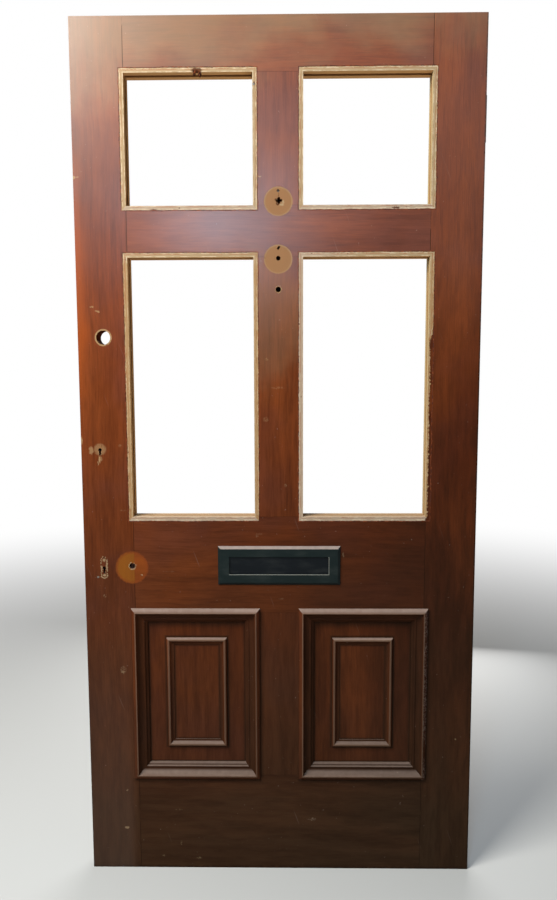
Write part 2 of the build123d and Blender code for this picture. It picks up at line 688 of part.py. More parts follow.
coil_points = [coil_point(i) for i in range(bend_count + 1)]
flap_end = (coil_points[0][0], FLAP_FRONT + FLAP_THICKNESS + SPRING_REST_GAP, FLAP_PIN_Z - SPRING_LEG)
rail_end = (coil_points[-1][0], coil_points[-1][1], SLOT_HIGH - SPRING_REST_GAP)
save("flap_spring", wire(flap_end, *coil_points, rail_end))

# Hinge leaves, knuckles and pin
knuckle_pitch = HINGE_HEIGHT / KNUCKLE_COUNT


def hinge_leaf(leaf_x0, leaf_x1, own, bore_radius, holes, head_x, head_dir):
    plate = block(leaf_x0, leaf_x1, LEAF_END_Y, PIN_Y, HINGE_Z0, HINGE_Z1)
    relief = KNUCKLE_RADIUS + KNUCKLE_FACE_GAP
    for i in range(KNUCKLE_COUNT):
        z0 = HINGE_Z0 + i * knuckle_pitch
        z1 = z0 + knuckle_pitch
        if i % 2 == own:
            low = z0 + (KNUCKLE_END_GAP / 2 if i > 0 else 0)
            high = z1 - (KNUCKLE_END_GAP / 2 if i < KNUCKLE_COUNT - 1 else 0)
            plate = plate + rod_z(PIN_X, PIN_Y, KNUCKLE_RADIUS, low, high)
        else:
            low = z0 - KNUCKLE_END_GAP / 2
            high = z1 + KNUCKLE_END_GAP / 2
            gap = (PIN_Y - relief, PIN_Y + OVERRUN)
            plate = plate - block(leaf_x0 - OVERRUN, leaf_x1 + OVERRUN, *gap, low, high)
    plate = plate - rod_z(PIN_X, PIN_Y, bore_radius, HINGE_Z0 - OVERRUN, HINGE_Z1 + OVERRUN)
    for dz, setback in holes:
        plate = plate - countersink(head_x, PIN_Y - setback, HINGE_MID + dz, head_dir)
    return plate


def countersink(x, y, z, direction):
    # A screw hole through a leaf, with its cone opening at x towards direction
    depth = HINGE_SCREW_HEAD_RADIUS - HINGE_SCREW_RADIUS
    cone = Cone(HINGE_SCREW_RADIUS, HINGE_SCREW_HEAD_RADIUS, depth)
    turn = Rot(0, 90, 0) if direction > 0 else Rot(0, -90, 0)
    shank = rod_x(y, z, HINGE_SCREW_RADIUS, x - 2 * HINGE_LEAF_THICKNESS, x + 2 * HINGE_LEAF_THICKNESS)
    return Pos(x - direction * depth / 2, y, z) * turn * cone + shank


door_leaf_x = EDGE - HINGE_LEAF_THICKNESS
jamb_leaf_x = EDGE + HINGE_LEAF_GAP
door_bore = HINGE_PIN_RADIUS + HINGE_PIN_CLEARANCE
jamb_leaf_end = jamb_leaf_x + HINGE_LEAF_THICKNESS
door_leaf = hinge_leaf(door_leaf_x, EDGE, 1, door_bore, DOOR_LEAF_HOLES, EDGE, 1)
jamb_leaf = hinge_leaf(jamb_leaf_x, jamb_leaf_end, 0, HINGE_PIN_RADIUS, FREE_LEAF_HOLES, jamb_leaf_x, -1)
save("hinge_door_leaf", door_leaf)
save("hinge_jamb_leaf", jamb_leaf)
pin_ends = (HINGE_Z0 - HINGE_PIN_TIP, HINGE_Z1 + HINGE_PIN_TIP)
save("hinge_pin", rod_z(PIN_X, PIN_Y, HINGE_PIN_RADIUS, *pin_ends))

screws = []
for dz, setback in DOOR_LEAF_HOLES:
    y = PIN_Y - setback
    z = HINGE_MID + dz
    depth = HINGE_SCREW_HEAD_RADIUS - HINGE_SCREW_RADIUS
    cone = Cone(HINGE_SCREW_RADIUS, HINGE_SCREW_HEAD_RADIUS, depth)
    head = Pos(EDGE - depth / 2, y, z) * Rot(0, 90, 0) * cone
    shank = rod_x(y, z, HINGE_SCREW_RADIUS, EDGE - HINGE_SCREW_LENGTH, EDGE - depth)
    slot = Pos(EDGE, y, z) * Box(2, 2 * HINGE_SCREW_HEAD_RADIUS, HINGE_SCREW_SLOT)
    screws.append(head + shank - slot)
save("hinge_screws", *screws)
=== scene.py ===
import math
import random

import bmesh
import bpy
from bpy.props import FloatProperty, FloatVectorProperty, PointerProperty
from bpy.types import Operator, Panel, PropertyGroup
from mathutils import Euler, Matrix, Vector, noise


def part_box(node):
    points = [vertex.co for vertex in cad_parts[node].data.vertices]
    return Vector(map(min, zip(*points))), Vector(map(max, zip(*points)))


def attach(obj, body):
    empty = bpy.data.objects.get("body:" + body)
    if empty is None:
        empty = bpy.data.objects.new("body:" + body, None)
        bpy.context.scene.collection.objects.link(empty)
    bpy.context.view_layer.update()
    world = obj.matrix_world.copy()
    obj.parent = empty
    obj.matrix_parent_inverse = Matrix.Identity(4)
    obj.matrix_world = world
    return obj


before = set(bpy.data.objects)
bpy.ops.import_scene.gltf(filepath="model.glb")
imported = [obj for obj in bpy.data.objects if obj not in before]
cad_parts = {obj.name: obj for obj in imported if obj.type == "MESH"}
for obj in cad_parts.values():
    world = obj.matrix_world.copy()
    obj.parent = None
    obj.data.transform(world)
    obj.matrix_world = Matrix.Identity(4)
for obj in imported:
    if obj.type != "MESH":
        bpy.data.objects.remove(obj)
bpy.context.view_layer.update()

bl_info = {
    "name": "Old panelled door leaf",
    "version": (1, 0, 0),
    "blender": (4, 5, 0),
    "location": "View3D > Sidebar > Door",
    "description": "Dresses the packed door leaf in worn varnish, bare wood and iron, and lights it",
    "category": "Object",
}

MM = 0.001

# Places on the leaf, read from the frame. Each box is (lowest corner, highest corner).
LOCK_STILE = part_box("lock_stile")
HINGE_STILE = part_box("hinge_stile")
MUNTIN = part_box("middle_muntin")
BOTTOM_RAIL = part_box("bottom_rail")
LOCK_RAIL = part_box("lock_rail")
FRIEZE_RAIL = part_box("frieze_rail")
TOP_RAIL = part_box("top_rail")
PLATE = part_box("letter_plate")
FRONT = LOCK_STILE[0].y
BACK = LOCK_STILE[1].y
LOCK_EDGE = LOCK_STILE[0].x
HINGE_EDGE = HINGE_STILE[1].x
SHOULDER = HINGE_STILE[0].x
MUNTIN_SIDE = MUNTIN[1].x
LIGHT_X = (MUNTIN_SIDE + SHOULDER) / 2
LIGHT_HALF = (SHOULDER - MUNTIN_SIDE) / 2
TALL_LIGHT = (LOCK_RAIL[1].z, FRIEZE_RAIL[0].z)
SQUARE_LIGHT = (FRIEZE_RAIL[1].z, TOP_RAIL[0].z)

# Sizes and places that the frame doesn't give, in metres. A place is (x, z): how far it is from the
# leaf's middle line and from its foot.
GROOVE_DEPTH = 9.0 * MM
GROOVE_HALF = 6.0 * MM
MOUTH_LENGTH = 0.232
MOUTH_HEIGHT = 0.041
UPPER_KNOCKER = (0.0005, 1.586)
LOWER_KNOCKER = (0.0, 1.460)
KNOCKER_RADIUS = 0.032
ROSE = (-0.346, 0.752)
ROSE_RADIUS = 0.0385
ROSE_HOLE = (-0.345, 0.7555)
ROSE_HOLE_RADIUS = 0.007
LATCH = (-0.399, 1.287)
LATCH_RADIUS = 0.016
UPPER_KEYHOLE = (-0.4135, 1.030)
LOWER_KEYHOLE = (-0.411, 0.7505)
MUNTIN_HOLE = (0.0, 1.393)
MUNTIN_HOLE_RADIUS = 0.006
CROSS_HOLE = (0.002, 1.588)

# Heights where a change of the varnish comes on, from none to full, and for some where it goes again
# These heights darken the varnish low and to the right: partly painted shade, for light that falls off from
# the upper left, and partly old varnish gone dark.
DARKENING_AND_SHADE = (1.55, 0.45)
# These heights soil the varnish towards the foot: real soiling, and painted shade where the lower leaf gets
# less light.
GRIME_AND_SHADE = (1.15, 0.10)
FOOT_GRIME = (0.25, 0.14)
FOOT_DUST = (0.75, 0.05)
POLISH = (1.15, 1.85)
# The next two ranges lay milky varnish and painted sheen: the top and the muntin's middle are made paler,
# as reflected light would make them.
MILKY_TOP_AND_SHEEN = (1.82, 2.00)
MILKY_MUNTIN_AND_SHEEN = (1.12, 1.24, 1.40, 1.52)
HANDS = (1.05, 1.30, 1.45, 1.72)
CREEPING_TEAR = (1.32, 1.26)

# Chips, scuffs and stains, in mm: x, z, half width, half height, and last how strong the mark is
CLEAR_MARKS = (
    (-423.5, 1356.0, 3.4, 1.8, 0.55), (-411.5, 1346.5, 5.8, 1.6, 0.70),
    (-408.5, 1344.0, 2.6, 1.4, 0.55), (-455.0, 1640.0, 3.0, 3.5, 0.90),
    (-448.0, 1641.0, 5.0, 1.2, 0.60), (-455.5, 1052.0, 2.2, 9.0, 0.80),
    (-41.0, 1640.0, 4.8, 1.4, 0.80), (-373.0, 103.0, 5.2, 2.6, 0.55),
    (421.0, 332.0, 1.6, 2.4, 0.45), (-374.0, 497.0, 4.0, 3.0, 0.35),
    (-434.0, 1029.0, 5.2, 9.0, 0.55), (-413.5, 1031.0, 13.5, 13.0, 0.46),
    (-415.0, 1008.0, 2.0, 9.0, 0.85), (-418.5, 999.0, 1.2, 5.5, 0.65),
    (-412.0, 1009.0, 3.5, 6.0, 0.40), (-426.0, 729.0, 2.2, 1.8, 0.80),
    (-419.0, 730.0, 1.4, 1.4, 0.70), (-411.0, 770.0, 3.4, 3.8, 0.60),
    (-405.0, 754.0, 1.6, 10.0, 0.75), (-416.5, 748.0, 1.2, 8.0, 0.55),
    (-411.0, 733.0, 4.0, 3.0, 0.70), (-323.0, 734.0, 2.6, 2.0, 0.60),
    (8.0, 1579.0, 5.0, 2.6, 0.90), (12.0, 1584.0, 2.0, 4.0, 0.90),
)
# Fainter scuffs, broken up into speckles
FAINT_MARKS = (
    (78.0, 127.0, 10.0, 3.0, 0.26), (-245.0, 150.0, 9.0, 1.6, 0.14),
    (-198.0, 25.0, 6.0, 3.0, 0.22), (-284.0, 30.0, 4.0, 3.0, 0.20),
    (-241.0, 64.0, 2.0, 7.0, 0.16), (-370.0, 199.0, 2.4, 2.4, 0.30),
    (-372.0, 502.0, 7.0, 9.0, 0.20), (-27.0, 1237.0, 4.0, 3.5, 0.24),
    (-2.0, 1172.0, 14.0, 2.2, 0.22), (-29.5, 1100.0, 6.0, 5.5, 0.20),
    (15.0, 947.0, 3.0, 4.5, 0.24), (-367.0, 1040.0, 4.0, 3.0, 0.26),
    (-363.0, 888.0, 7.5, 1.8, 0.26), (-47.5, 832.0, 7.0, 1.6, 0.26),
    (-51.0, 827.0, 3.0, 3.0, 0.18), (150.0, 782.0, 1.8, 6.0, 0.30),
    (-411.0, 684.0, 3.6, 4.0, 0.30), (4.0, 677.0, 6.0, 1.8, 0.14),
    (-48.0, 1640.0, 6.0, 1.6, 0.26), (-50.0, 1720.0, 1.2, 30.0, 0.22),
    (-260.0, 742.0, 14.0, 1.2, 0.16),
)
# Dark knots, burns and torn places, all at full strength
DARK_SPOTS = (
    (-278.0, 1568.0, 8.0, 3.0), (-121.0, 876.0, 10.0, 3.0),
    (-72.0, 877.0, 4.0, 3.0), (-178.0, 1866.0, 12.0, 5.5),
    (-52.0, 1838.0, 2.8, 2.8), (346.0, 1270.0, 4.5, 13.0),
    (347.0, 1100.0, 3.0, 18.0), (346.0, 960.0, 3.0, 11.0),
    (262.0, 1571.0, 9.0, 2.2), (1.0, 1600.0, 0.7, 10.0),
    (-2.0, 1590.0, 6.0, 3.0), (-1.0, 1582.0, 3.5, 5.0),
    (-411.0, 777.0, 1.6, 1.6),
)

# The nodes of the leaf, by kind
UPRIGHTS = ("lock_stile", "hinge_stile", "upper_muntin", "middle_muntin", "lower_muntin")
RAILS = ("top_rail", "frieze_rail", "lock_rail", "bottom_rail")
PANELS = ("left_panel", "right_panel")
MOULDING_KINDS = ("bolection", "field_moulding", "back_moulding")
LETTER_PLATE_FIXINGS = (
    "letter_plate_bolts", "letter_plate_nuts", "letter_plate_washers", "flap_pin", "flap_spring",
)

# Area lamps: place, the point it looks at, width and height, colour
LAMPS = {
    "key": ((-1.45, -1.35, 2.80), (-0.15, 0.0, 1.25), (1.4, 1.4), (1.0, 0.98, 0.92)),
    "window": ((-0.36, -2.6, 1.96), (-0.15, 0.0, 1.50), (0.50, 0.24), (0.55, 0.78, 1.0)),
    "fill": ((2.3, -2.6, 1.6), (0.1, 0.0, 1.0), (1.6, 1.6), (1.0, 1.0, 1.0)),
    "back": ((0.3, 1.8, 0.9), (0.0, 0.0, 1.4), (1.6, 1.6), (1.0, 1.0, 1.0)),
}

VECTOR = "NodeSocketVector"
FLOAT = "NodeSocketFloat"
SPECULAR = "Specular IOR Level"


def srgb(red, green, blue):
    """A colour of 0 to 255 a channel as the linear colour that a shader takes."""
    parts = [value / 255 for value in (red, green, blue)]
    linear = [p / 12.92 if p <= 0.04045 else ((p + 0.055) / 1.055) ** 2.4 for p in parts]
    return (*linear, 1.0)


def colour_property(name, description, default):
    return FloatVectorProperty(
        name=name, description=description, default=default, subtype="COLOR", size=4, min=0.0, max=1.0
    )


def length_property(name, description, default):
    return FloatProperty(
        name=name, description=description, default=default, subtype="DISTANCE", unit="LENGTH", min=0.0
    )


def power_property(name, description, default):
    return FloatProperty(name=name, description=description, default=default, unit="POWER", min=0.0)


class DoorWoodSettings(PropertyGroup):
    varnish: colour_property("Varnish", "Sound varnish at mid height", srgb(114, 54, 25))
    varnish_deep: colour_property("Varnish lines", "Varnish over the dark growth lines", srgb(66, 29, 15))
    varnish_warm: colour_property("Thin varnish", "Orange wood under thin varnish", srgb(134, 68, 32))
    varnish_plum: colour_property("Old varnish", "Bluish bloom on the oldest varnish", srgb(98, 54, 44))
    # Partly painted shade: the leaf is darkened to this colour low and to the right, where less light
    # falls, as well as where old varnish has gone dark.
    varnish_dark: colour_property("Darkened varnish", "Varnish gone dark low and right", srgb(64, 28, 15))
    # Partly painted shade: this soiled colour also darkens the lower leaf where less light reaches it.
    grime: colour_property("Grime", "Dirt worked into the varnish near the foot", srgb(50, 41, 29))
    # Partly painted shade: this dark wax colour also darkens the mouldings' hollows, the panel along them
    # and the frame beside and under them, where shade falls.
    soot: colour_property("Old wax", "Wax and dirt in the corners of the mouldings", srgb(30, 20, 13))
    # Partly painted sheen: this pale colour stands for light reflected at the top and on the muntin, as
    # well as milky varnish.
    haze: colour_property("Milky varnish", "Milky varnish, at the top and muntin", srgb(164, 150, 112))
    bare: colour_property("Bare wood", "Wood that a moulding had covered", srgb(158, 134, 103))
    bare_line: colour_property("Bare wood lines", "Growth lines in the bare wood", srgb(140, 112, 80))
    bare_pale: colour_property("Pale bare wood", "Cleanest stripes of the bare bands", srgb(200, 178, 150))
    bare_stained: colour_property("Stained band", "Stained bands of the tall lights", srgb(150, 117, 80))
    bare_foot: colour_property("Greyed bands", "Bands under the lights, by the muntin", srgb(158, 137, 118))
    reveal: colour_property("Reveal", "Ochre wood inside the lights", srgb(178, 130, 80))
    # Painted light: the reveals that face left, towards the light, get this paler colour.
    reveal_lit: colour_property("Pale reveal", "Yellowish wood on the right reveals", srgb(178, 156, 116))
    handled: colour_property("Handled edge", "Orange varnish on the lock stile's edge", srgb(146, 68, 26))
    knocker_mark: colour_property("Knocker marks", "Wood under the lost knocker", srgb(139, 102, 70))
    rose_mark: colour_property("Rose mark", "Wood under the lost knob's rose", srgb(124, 72, 25))
    rose_red: colour_property("Rose mark on the rail", "The redder half of that mark", srgb(122, 60, 24))
    # Partly painted top light: on faces that look up this pale colour stands for light from above as well
    # as settled grit; it also marks scratches, specks and rags.
    dust: colour_property("Dust", "Dust lying on ledges", srgb(158, 136, 124))
    # Partly painted highlight: this pale colour on the mouldings' crowns is stronger on the level members
    # that face the light, as well as varnish rubbed thin.
    worn: colour_property("Worn varnish", "Varnish rubbed thin on the mouldings", srgb(132, 106, 86))
    band_width: length_property("Bare band", "Width of the bare band round each light", 9.8 * MM)
    arris: length_property("Arris", "Rounding of the wood's edges", 0.5 * MM)
    moulding_arris: length_property("Moulding arris", "Rounding of the mouldings' edges", 0.4 * MM)
    film: length_property("Varnish film", "Height of the varnish left at a band's edge", 0.4 * MM)


class DoorMetalSettings(PropertyGroup):
    plate_paint: colour_property("Plate paint", "Green-black paint on the letter plate", srgb(15, 24, 23))
    # Partly painted highlight: this pale colour lights the mouth's lower and right lip, and also shows
    # faint smears.
    plate_worn: colour_property("Plate wear", "Paint rubbed thin on the plate's edges", srgb(120, 120, 112))
    # Partly painted top light: the pale colour on the plate's top bevel, with settled grit.
    plate_dust: colour_property("Plate dust", "Pale dust on the plate's top bevel", srgb(150, 134, 126))
    # Partly painted shade: the flap is painted darker than the plate, standing for the shade in its recess.
    flap_paint: colour_property("Flap paint", "Blue-black paint on the flap", srgb(8, 12, 15))
    hinge_iron: colour_property("Hinge iron", "Old paint on the hinge", srgb(40, 34, 30))
    rust: colour_property("Rust", "Rust on the hinge and the nails", srgb(88, 48, 28))
    pits: colour_property("Pits", "Dirt in the pits of rusted iron", srgb(20, 16, 13))
    steel: colour_property("Steel", "Tarnished screws, bolts and pins", srgb(112, 105, 96))
    plate_arris: length_property("Plate arris", "Rounding of the letter plate's edges", 0.5 * MM)
    hinge_arris: length_property("Hinge arris", "Rounding of the hinge's edges", 0.3 * MM)
    nail_arris: length_property("Nail arris", "Rounding of the nails' edges", 0.2 * MM)


class DoorStageSettings(PropertyGroup):
    floor: colour_property("Floor", "Plain pale floor", (0.55, 0.55, 0.54, 1.0))
    floor_grit: colour_property("Floor grit", "Paler specks in the floor", (0.6, 0.6, 0.59, 1.0))
    key_power: power_property("Key lamp", "Softbox high on the left", 126.0)
    window_power: power_property("Window lamp", "Small cool lamp behind the camera", 32.0)
    fill_power: power_property("Fill lamp", "Weak softbox on the right", 3.0)
    back_power: power_property("Back lamp", "Softbox behind the leaf, low", 42.0)
    sky: FloatProperty(name="Sky", description="Strength of the soft light from all round", default=0.06)
    lens: FloatProperty(
        name="Lens", description="Focal length for a 36 mm frame height", default=30.0, unit="CAMERA"
    )
    camera_place: FloatVectorProperty(
        name="Camera",
        description="Where the camera stands",
        default=(0.0243, -1.7407, 1.2115),
        subtype="TRANSLATION",
    )
    camera_turn: FloatVectorProperty(
        name="Camera turn",
        description="Tilt, roll and heading of the camera",
        default=(math.radians(83.946), math.radians(0.167), math.radians(0.812)),
        subtype="EULER",
    )


class Graph:
    """Adds and links nodes in one node tree."""

    def __init__(self, tree):
        self.tree = tree

    def feed(self, node, values):
        """Links or sets a node's inputs, each given by its label or number."""
        for key, value in values.items():
            if isinstance(value, bpy.types.NodeSocket):
                self.tree.links.new(value, node.inputs[key])
            else:
                node.inputs[key].default_value = value

    def node(self, kind, inputs=None, **settings):
        made = self.tree.nodes.new(kind)
        for name, value in settings.items():
            setattr(made, name, value)
        self.feed(made, inputs or {})
        return made

    def group(self, name, **inputs):
        return self.node("ShaderNodeGroup", node_tree=bpy.data.node_groups[name], inputs=inputs).outputs

    def math(self, operation, first, second=0.0, third=0.0, clamp=False):
        inputs = {0: first, 1: second, 2: third}
        return self.node("ShaderNodeMath", inputs, operation=operation, use_clamp=clamp).outputs[0]

    def minus(self, first, second, clamp=False):
        return self.math("SUBTRACT", first, second, clamp=clamp)

    def size(self, value):
        """The value without its sign."""
        return self.math("ABSOLUTE", value)

    def away(self, value, place):
        """How far a value is from a place, to either side."""
        return self.size(self.minus(value, place))

    def sloped(self, value, slope, start, clamp=False):
        """The start and the value times the slope, added up."""
        return self.math("MULTIPLY_ADD", value, slope, start, clamp)

    def chained(self, operation, values):
        """The values joined by an operation, one after the other."""
        result, *others = values
        for value in others:
            result = self.math(operation, result, value)
        return result

    def largest(self, *values):
        return self.chained("MAXIMUM", values)

    def smallest(self, *values):
        return self.chained("MINIMUM", values)

    def product(self, *values):
        return self.chained("MULTIPLY", values)

    def step(self, value, start, end):
        """0 at start and 1 at end, smooth between them. start may be the larger."""
        inputs = {"Value": value, "From Min": start, "From Max": end}
        return self.node("ShaderNodeMapRange", inputs, interpolation_type="SMOOTHSTEP").outputs[0]

    def band(self, value, start, full, fading, end):
        """0 up to start, 1 from full to fading, and 0 again from end on."""
        return self.product(self.step(value, start, full), self.step(value, end, fading))

    def noise(self, point, scale, detail=3.0, roughness=0.55, output="Fac"):
        inputs = {"Vector": point, "Scale": scale, "Detail": detail, "Roughness": roughness}
        return self.node("ShaderNodeTexNoise", inputs).outputs[output]

    def patches(self, point, scale, low, high, detail=3.0, roughness=0.55):
        """Patches of noise: 0 where it is under low and 1 where it is over high."""
        return self.step(self.noise(point, scale, detail, roughness), low, high)

    def vector(self, operation, first, second=(0.0, 0.0, 0.0)):
        node = self.node("ShaderNodeVectorMath", {0: first, 1: second}, operation=operation)
        return node.outputs["Value" if operation == "LENGTH" else "Vector"]

    def axes(self, point):
        return self.node("ShaderNodeSeparateXYZ", {0: point}).outputs

    def stretched(self, point, share):
        """The point with its height cut to a share, so that a noise read there runs long along Z."""
        return self.vector("MULTIPLY", point, (1.0, 1.0, share))

    def wobble(self, point, scale, detail):
        """A vector of three noises, each centred on 0."""
        return self.vector("SUBTRACT", self.noise(point, scale, detail, output="Color"), (0.5, 0.5, 0.5))

    def shaken(self, point, wobble, reach):
        """The point pushed about by a wobble, by a reach along each axis."""
        return self.vector("ADD", point, self.vector("MULTIPLY", wobble, reach))

    def mix(self, factor, low, high):
        inputs = {0: factor, 6: low, 7: high}
        return self.node("ShaderNodeMix", inputs, data_type="RGBA", clamp_factor=True).outputs[2]

    def coats(self, colour, *coats):
        """Lays coats over a colour, each given as its paint, the mask where it lies and its strength."""
        for paint, mask, strength in coats:
            colour = self.mix(self.product(mask, strength), colour, paint)
        return colour


class Finish(Graph):
    """The node tree of a new material, with its shader, the piece's coordinates and the settings."""

    def __init__(self, name):
        self.wood, self.metal = bpy.context.scene.door_wood, bpy.context.scene.door_metal
        self.material = bpy.data.materials.new(name)
        self.material.use_nodes = True
        super().__init__(self.material.node_tree)
        self.shader = self.tree.nodes["Principled BSDF"]
        coordinates = self.node("ShaderNodeTexCoord").outputs
        self.position, self.facing = coordinates["Object"], coordinates["Normal"]

    def done(self, colour, rough, relief, strength, depth, others):
        """Feeds the shader its colour, roughness, relief and other values, and gives the material."""
        bump = self.node("ShaderNodeBump", {"Height": relief, "Strength": strength, "Distance": depth})
        values = {"Base Color": colour, "Roughness": rough, "Normal": bump.outputs[0], **others}
        self.feed(self.shader, values)
        return self.material


def build_group(effect, **inputs):
    """Builds the shader group of an effect, with an output for each value that its function gives."""
    tree = bpy.data.node_groups.new(effect.__name__, "ShaderNodeTree")
    for label, kind in inputs.items():
        tree.interface.new_socket(name=label, in_out="INPUT", socket_type=kind)
    graph = Graph(tree)
    source = graph.node("NodeGroupInput").outputs
    results = effect(graph, *(source[label] for label in inputs))
    for label in results:
        tree.interface.new_socket(name=label, in_out="OUTPUT", socket_type=FLOAT)
    graph.feed(graph.node("NodeGroupOutput"), results)


# Shared effects. The position is a point on the leaf in metres, and so z is a height above the foot.
def softwood_grain(graph, position):
    """Softwood grain along Z: growth lines, fine fibre, broad clouds and two slow drifts of colour."""
    bent = graph.shaken(position, graph.wobble(position, 2.2, 2.0), (0.05, 0.02, 0.0))
    return {
        "Lines": graph.patches(graph.stretched(bent, 0.022), 120.0, 0.44, 0.72, 5.0, 0.62),
        "Fibre": graph.patches(graph.stretched(position, 0.02), 900.0, 0.3, 0.7),
        "Streaks": graph.patches(graph.stretched(bent, 0.07), 26.0, 0.36, 0.66, 4.0, 0.6),
        "Mottle": graph.patches(graph.stretched(bent, 0.16), 64.0, 0.36, 0.66, 5.0, 0.7),
        "Warm": graph.patches(graph.stretched(position, 0.3), 7.0, 0.42, 0.66),
        "Plum": graph.patches(graph.vector("ADD", position, (4.0, 2.0, 1.0)), 4.5, 0.44, 0.68),
    }


def face_masks(graph, y):
    """Masks of the leaf's outside face, its inside face and what lies between them."""
    front = graph.step(y, FRONT + 0.6 * MM, FRONT + 0.2 * MM)
    back = graph.step(y, BACK - 0.6 * MM, BACK - 0.2 * MM)
    return front, back, graph.minus(1.0, graph.largest(front, back))


def light_foot(graph, across, under):
    """1 on the band under a light: across is how far beside the light, under how far below it."""
    mitre = graph.step(graph.minus(under, across), -MM, MM)
    return graph.product(mitre, graph.band(under, -MM, 0.0, 13 * MM, 16 * MM))


def light_edges(graph, position, width):
    """The bare band round each light, its ragged outer line, the reveal and the plough groove."""
    x, y, z = graph.axes(position)
    front, back, inside = face_masks(graph, y)
    lights = (TALL_LIGHT, SQUARE_LIGHT)
    across = graph.minus(graph.away(graph.size(x), LIGHT_X), LIGHT_HALF)
    above_tall, above_square = (
        graph.minus(graph.away(z, (low + high) / 2), (high - low) / 2) for low, high in lights
    )
    nearest = graph.smallest(graph.largest(across, above_tall), graph.largest(across, above_square))
    feet = graph.largest(*(light_foot(graph, across, graph.minus(low, z)) for low, high in lights))
    beside_tall = graph.step(graph.minus(across, above_tall), 0.0, MM)
    up_to_head = graph.step(z, TALL_LIGHT[1] + 12 * MM, TALL_LIGHT[1] - 30 * MM)
    beside_muntin = graph.product(
        graph.band(x, 0.0, MUNTIN_SIDE, MUNTIN_SIDE, LIGHT_X), graph.step(z, SQUARE_LIGHT[0], TALL_LIGHT[1])
    )

    ragged = graph.minus(graph.noise(position, 190.0, 5.0, 0.7), 0.5)
    slow = graph.minus(graph.noise(position, 23.0, 2.0), 0.5)
    ragged = graph.sloped(ragged, 4.0 * MM, graph.product(slow, 2.6 * MM))
    creep = graph.sloped(graph.noise(position, 210.0, 5.0, 0.7), 18 * MM, -2.8 * MM)
    creeping = graph.product(graph.step(x, SHOULDER - MM, SHOULDER), graph.step(z, *CREEPING_TEAR))
    ragged = graph.sloped(creeping, creep, ragged)
    torn_line = graph.math("ADD", nearest, ragged)
    beyond = graph.math("ADD", graph.minus(nearest, width), ragged)
    blotch = graph.noise(position, 55.0, 4.0, 0.65)

    near = graph.step(nearest, GROOVE_DEPTH + 0.6 * MM, GROOVE_DEPTH + 0.3 * MM)
    lip = graph.product(back, graph.step(torn_line, 2.4 * MM, 1.8 * MM))
    deep = graph.step(graph.size(y), GROOVE_HALF + 0.4 * MM, GROOVE_HALF)
    arris_stripe = graph.step(graph.away(nearest, 1.4 * MM), 1.4 * MM, 0.5 * MM)
    outer_stripe = graph.step(graph.away(beyond, -2.2 * MM), 1.7 * MM, 0.6 * MM)
    stripes = graph.product(graph.largest(arris_stripe, outer_stripe), graph.step(blotch, 0.40, 0.60))
    sight = graph.away(torn_line, graph.sloped(feet, -3.4 * MM, 6.4 * MM))
    sight = graph.product(graph.step(sight, 1.3 * MM, 0.5 * MM), graph.patches(position, 31.0, 0.40, 0.52))
    return {
        "Band": graph.product(front, graph.step(beyond, 0.25 * MM, -0.25 * MM)),
        "Line": graph.product(front, graph.step(graph.size(beyond), 1.7 * MM, 0.2 * MM)),
        "Stripe": graph.product(front, stripes),
        "Torn": graph.product(graph.step(blotch, 0.65, 0.69), graph.step(nearest, 1.5 * MM, 5.0 * MM)),
        "Sight": sight,
        "Reveal": graph.largest(graph.product(inside, near), lip),
        # Painted shade with some grit in the plough groove.
        "Groove": graph.product(deep, near, graph.step(nearest, 0.4 * MM, 1.6 * MM)),
        "Stain": graph.product(beside_tall, up_to_head),
        "Greyed": graph.largest(feet, beside_muntin),
    }


def spot(graph, point, place, half_width, half_height, softness):
    """1 inside an ellipse on the leaf's face and 0 outside it."""
    offset = graph.vector("SUBTRACT", point, (place[0], 0.0, place[1]))
    scaled = graph.vector("MULTIPLY", offset, (1 / half_width, 0.0, 1 / half_height))
    return graph.step(graph.vector("LENGTH", scaled), 1.0 + softness / 2, 1.0 - softness / 2)


def discs(graph, point, places, radius, softness=0.12):
    """1 inside a circle round any of the places."""
    return graph.largest(*(spot(graph, point, place, radius, radius, softness) for place in places))


def spots(graph, point, marks):
    """The strongest of many soft marks, each given as its table says."""
    return graph.largest(*(
        graph.product(spot(graph, point, (x * MM, z * MM), width * MM, height * MM, 0.5), *strength)
        for x, z, width, height, *strength in marks
    ))


def ring(graph, point, place, inner, outer):
    """1 between two radii round a place on the leaf's face."""
    offset = graph.vector("SUBTRACT", point, (place[0], 0.0, place[1]))
    radius = graph.vector("LENGTH", graph.vector("MULTIPLY", offset, (1.0, 0.0, 1.0)))
    soft = 0.4 * MM
    return graph.band(radius, inner - soft, inner + soft, outer - soft, outer + soft)


def lost_cover(graph, point, radius):
    """1 inside the upright rounded outline of the lower keyhole's lost cover."""
    offset = graph.vector("SUBTRACT", point, (LOWER_KEYHOLE[0], 0.0, LOWER_KEYHOLE[1] + 1.5 * MM))
    folded = graph.vector("SUBTRACT", graph.vector("ABSOLUTE", offset), (0.0, 0.0, 18.5 * MM))
    folded = graph.vector("MULTIPLY", graph.vector("MAXIMUM", folded, (0.0, -1.0, 0.0)), (1.0, 0.0, 1.0))
    return graph.step(graph.vector("LENGTH", folded), radius + 0.4 * MM, radius - 0.4 * MM)


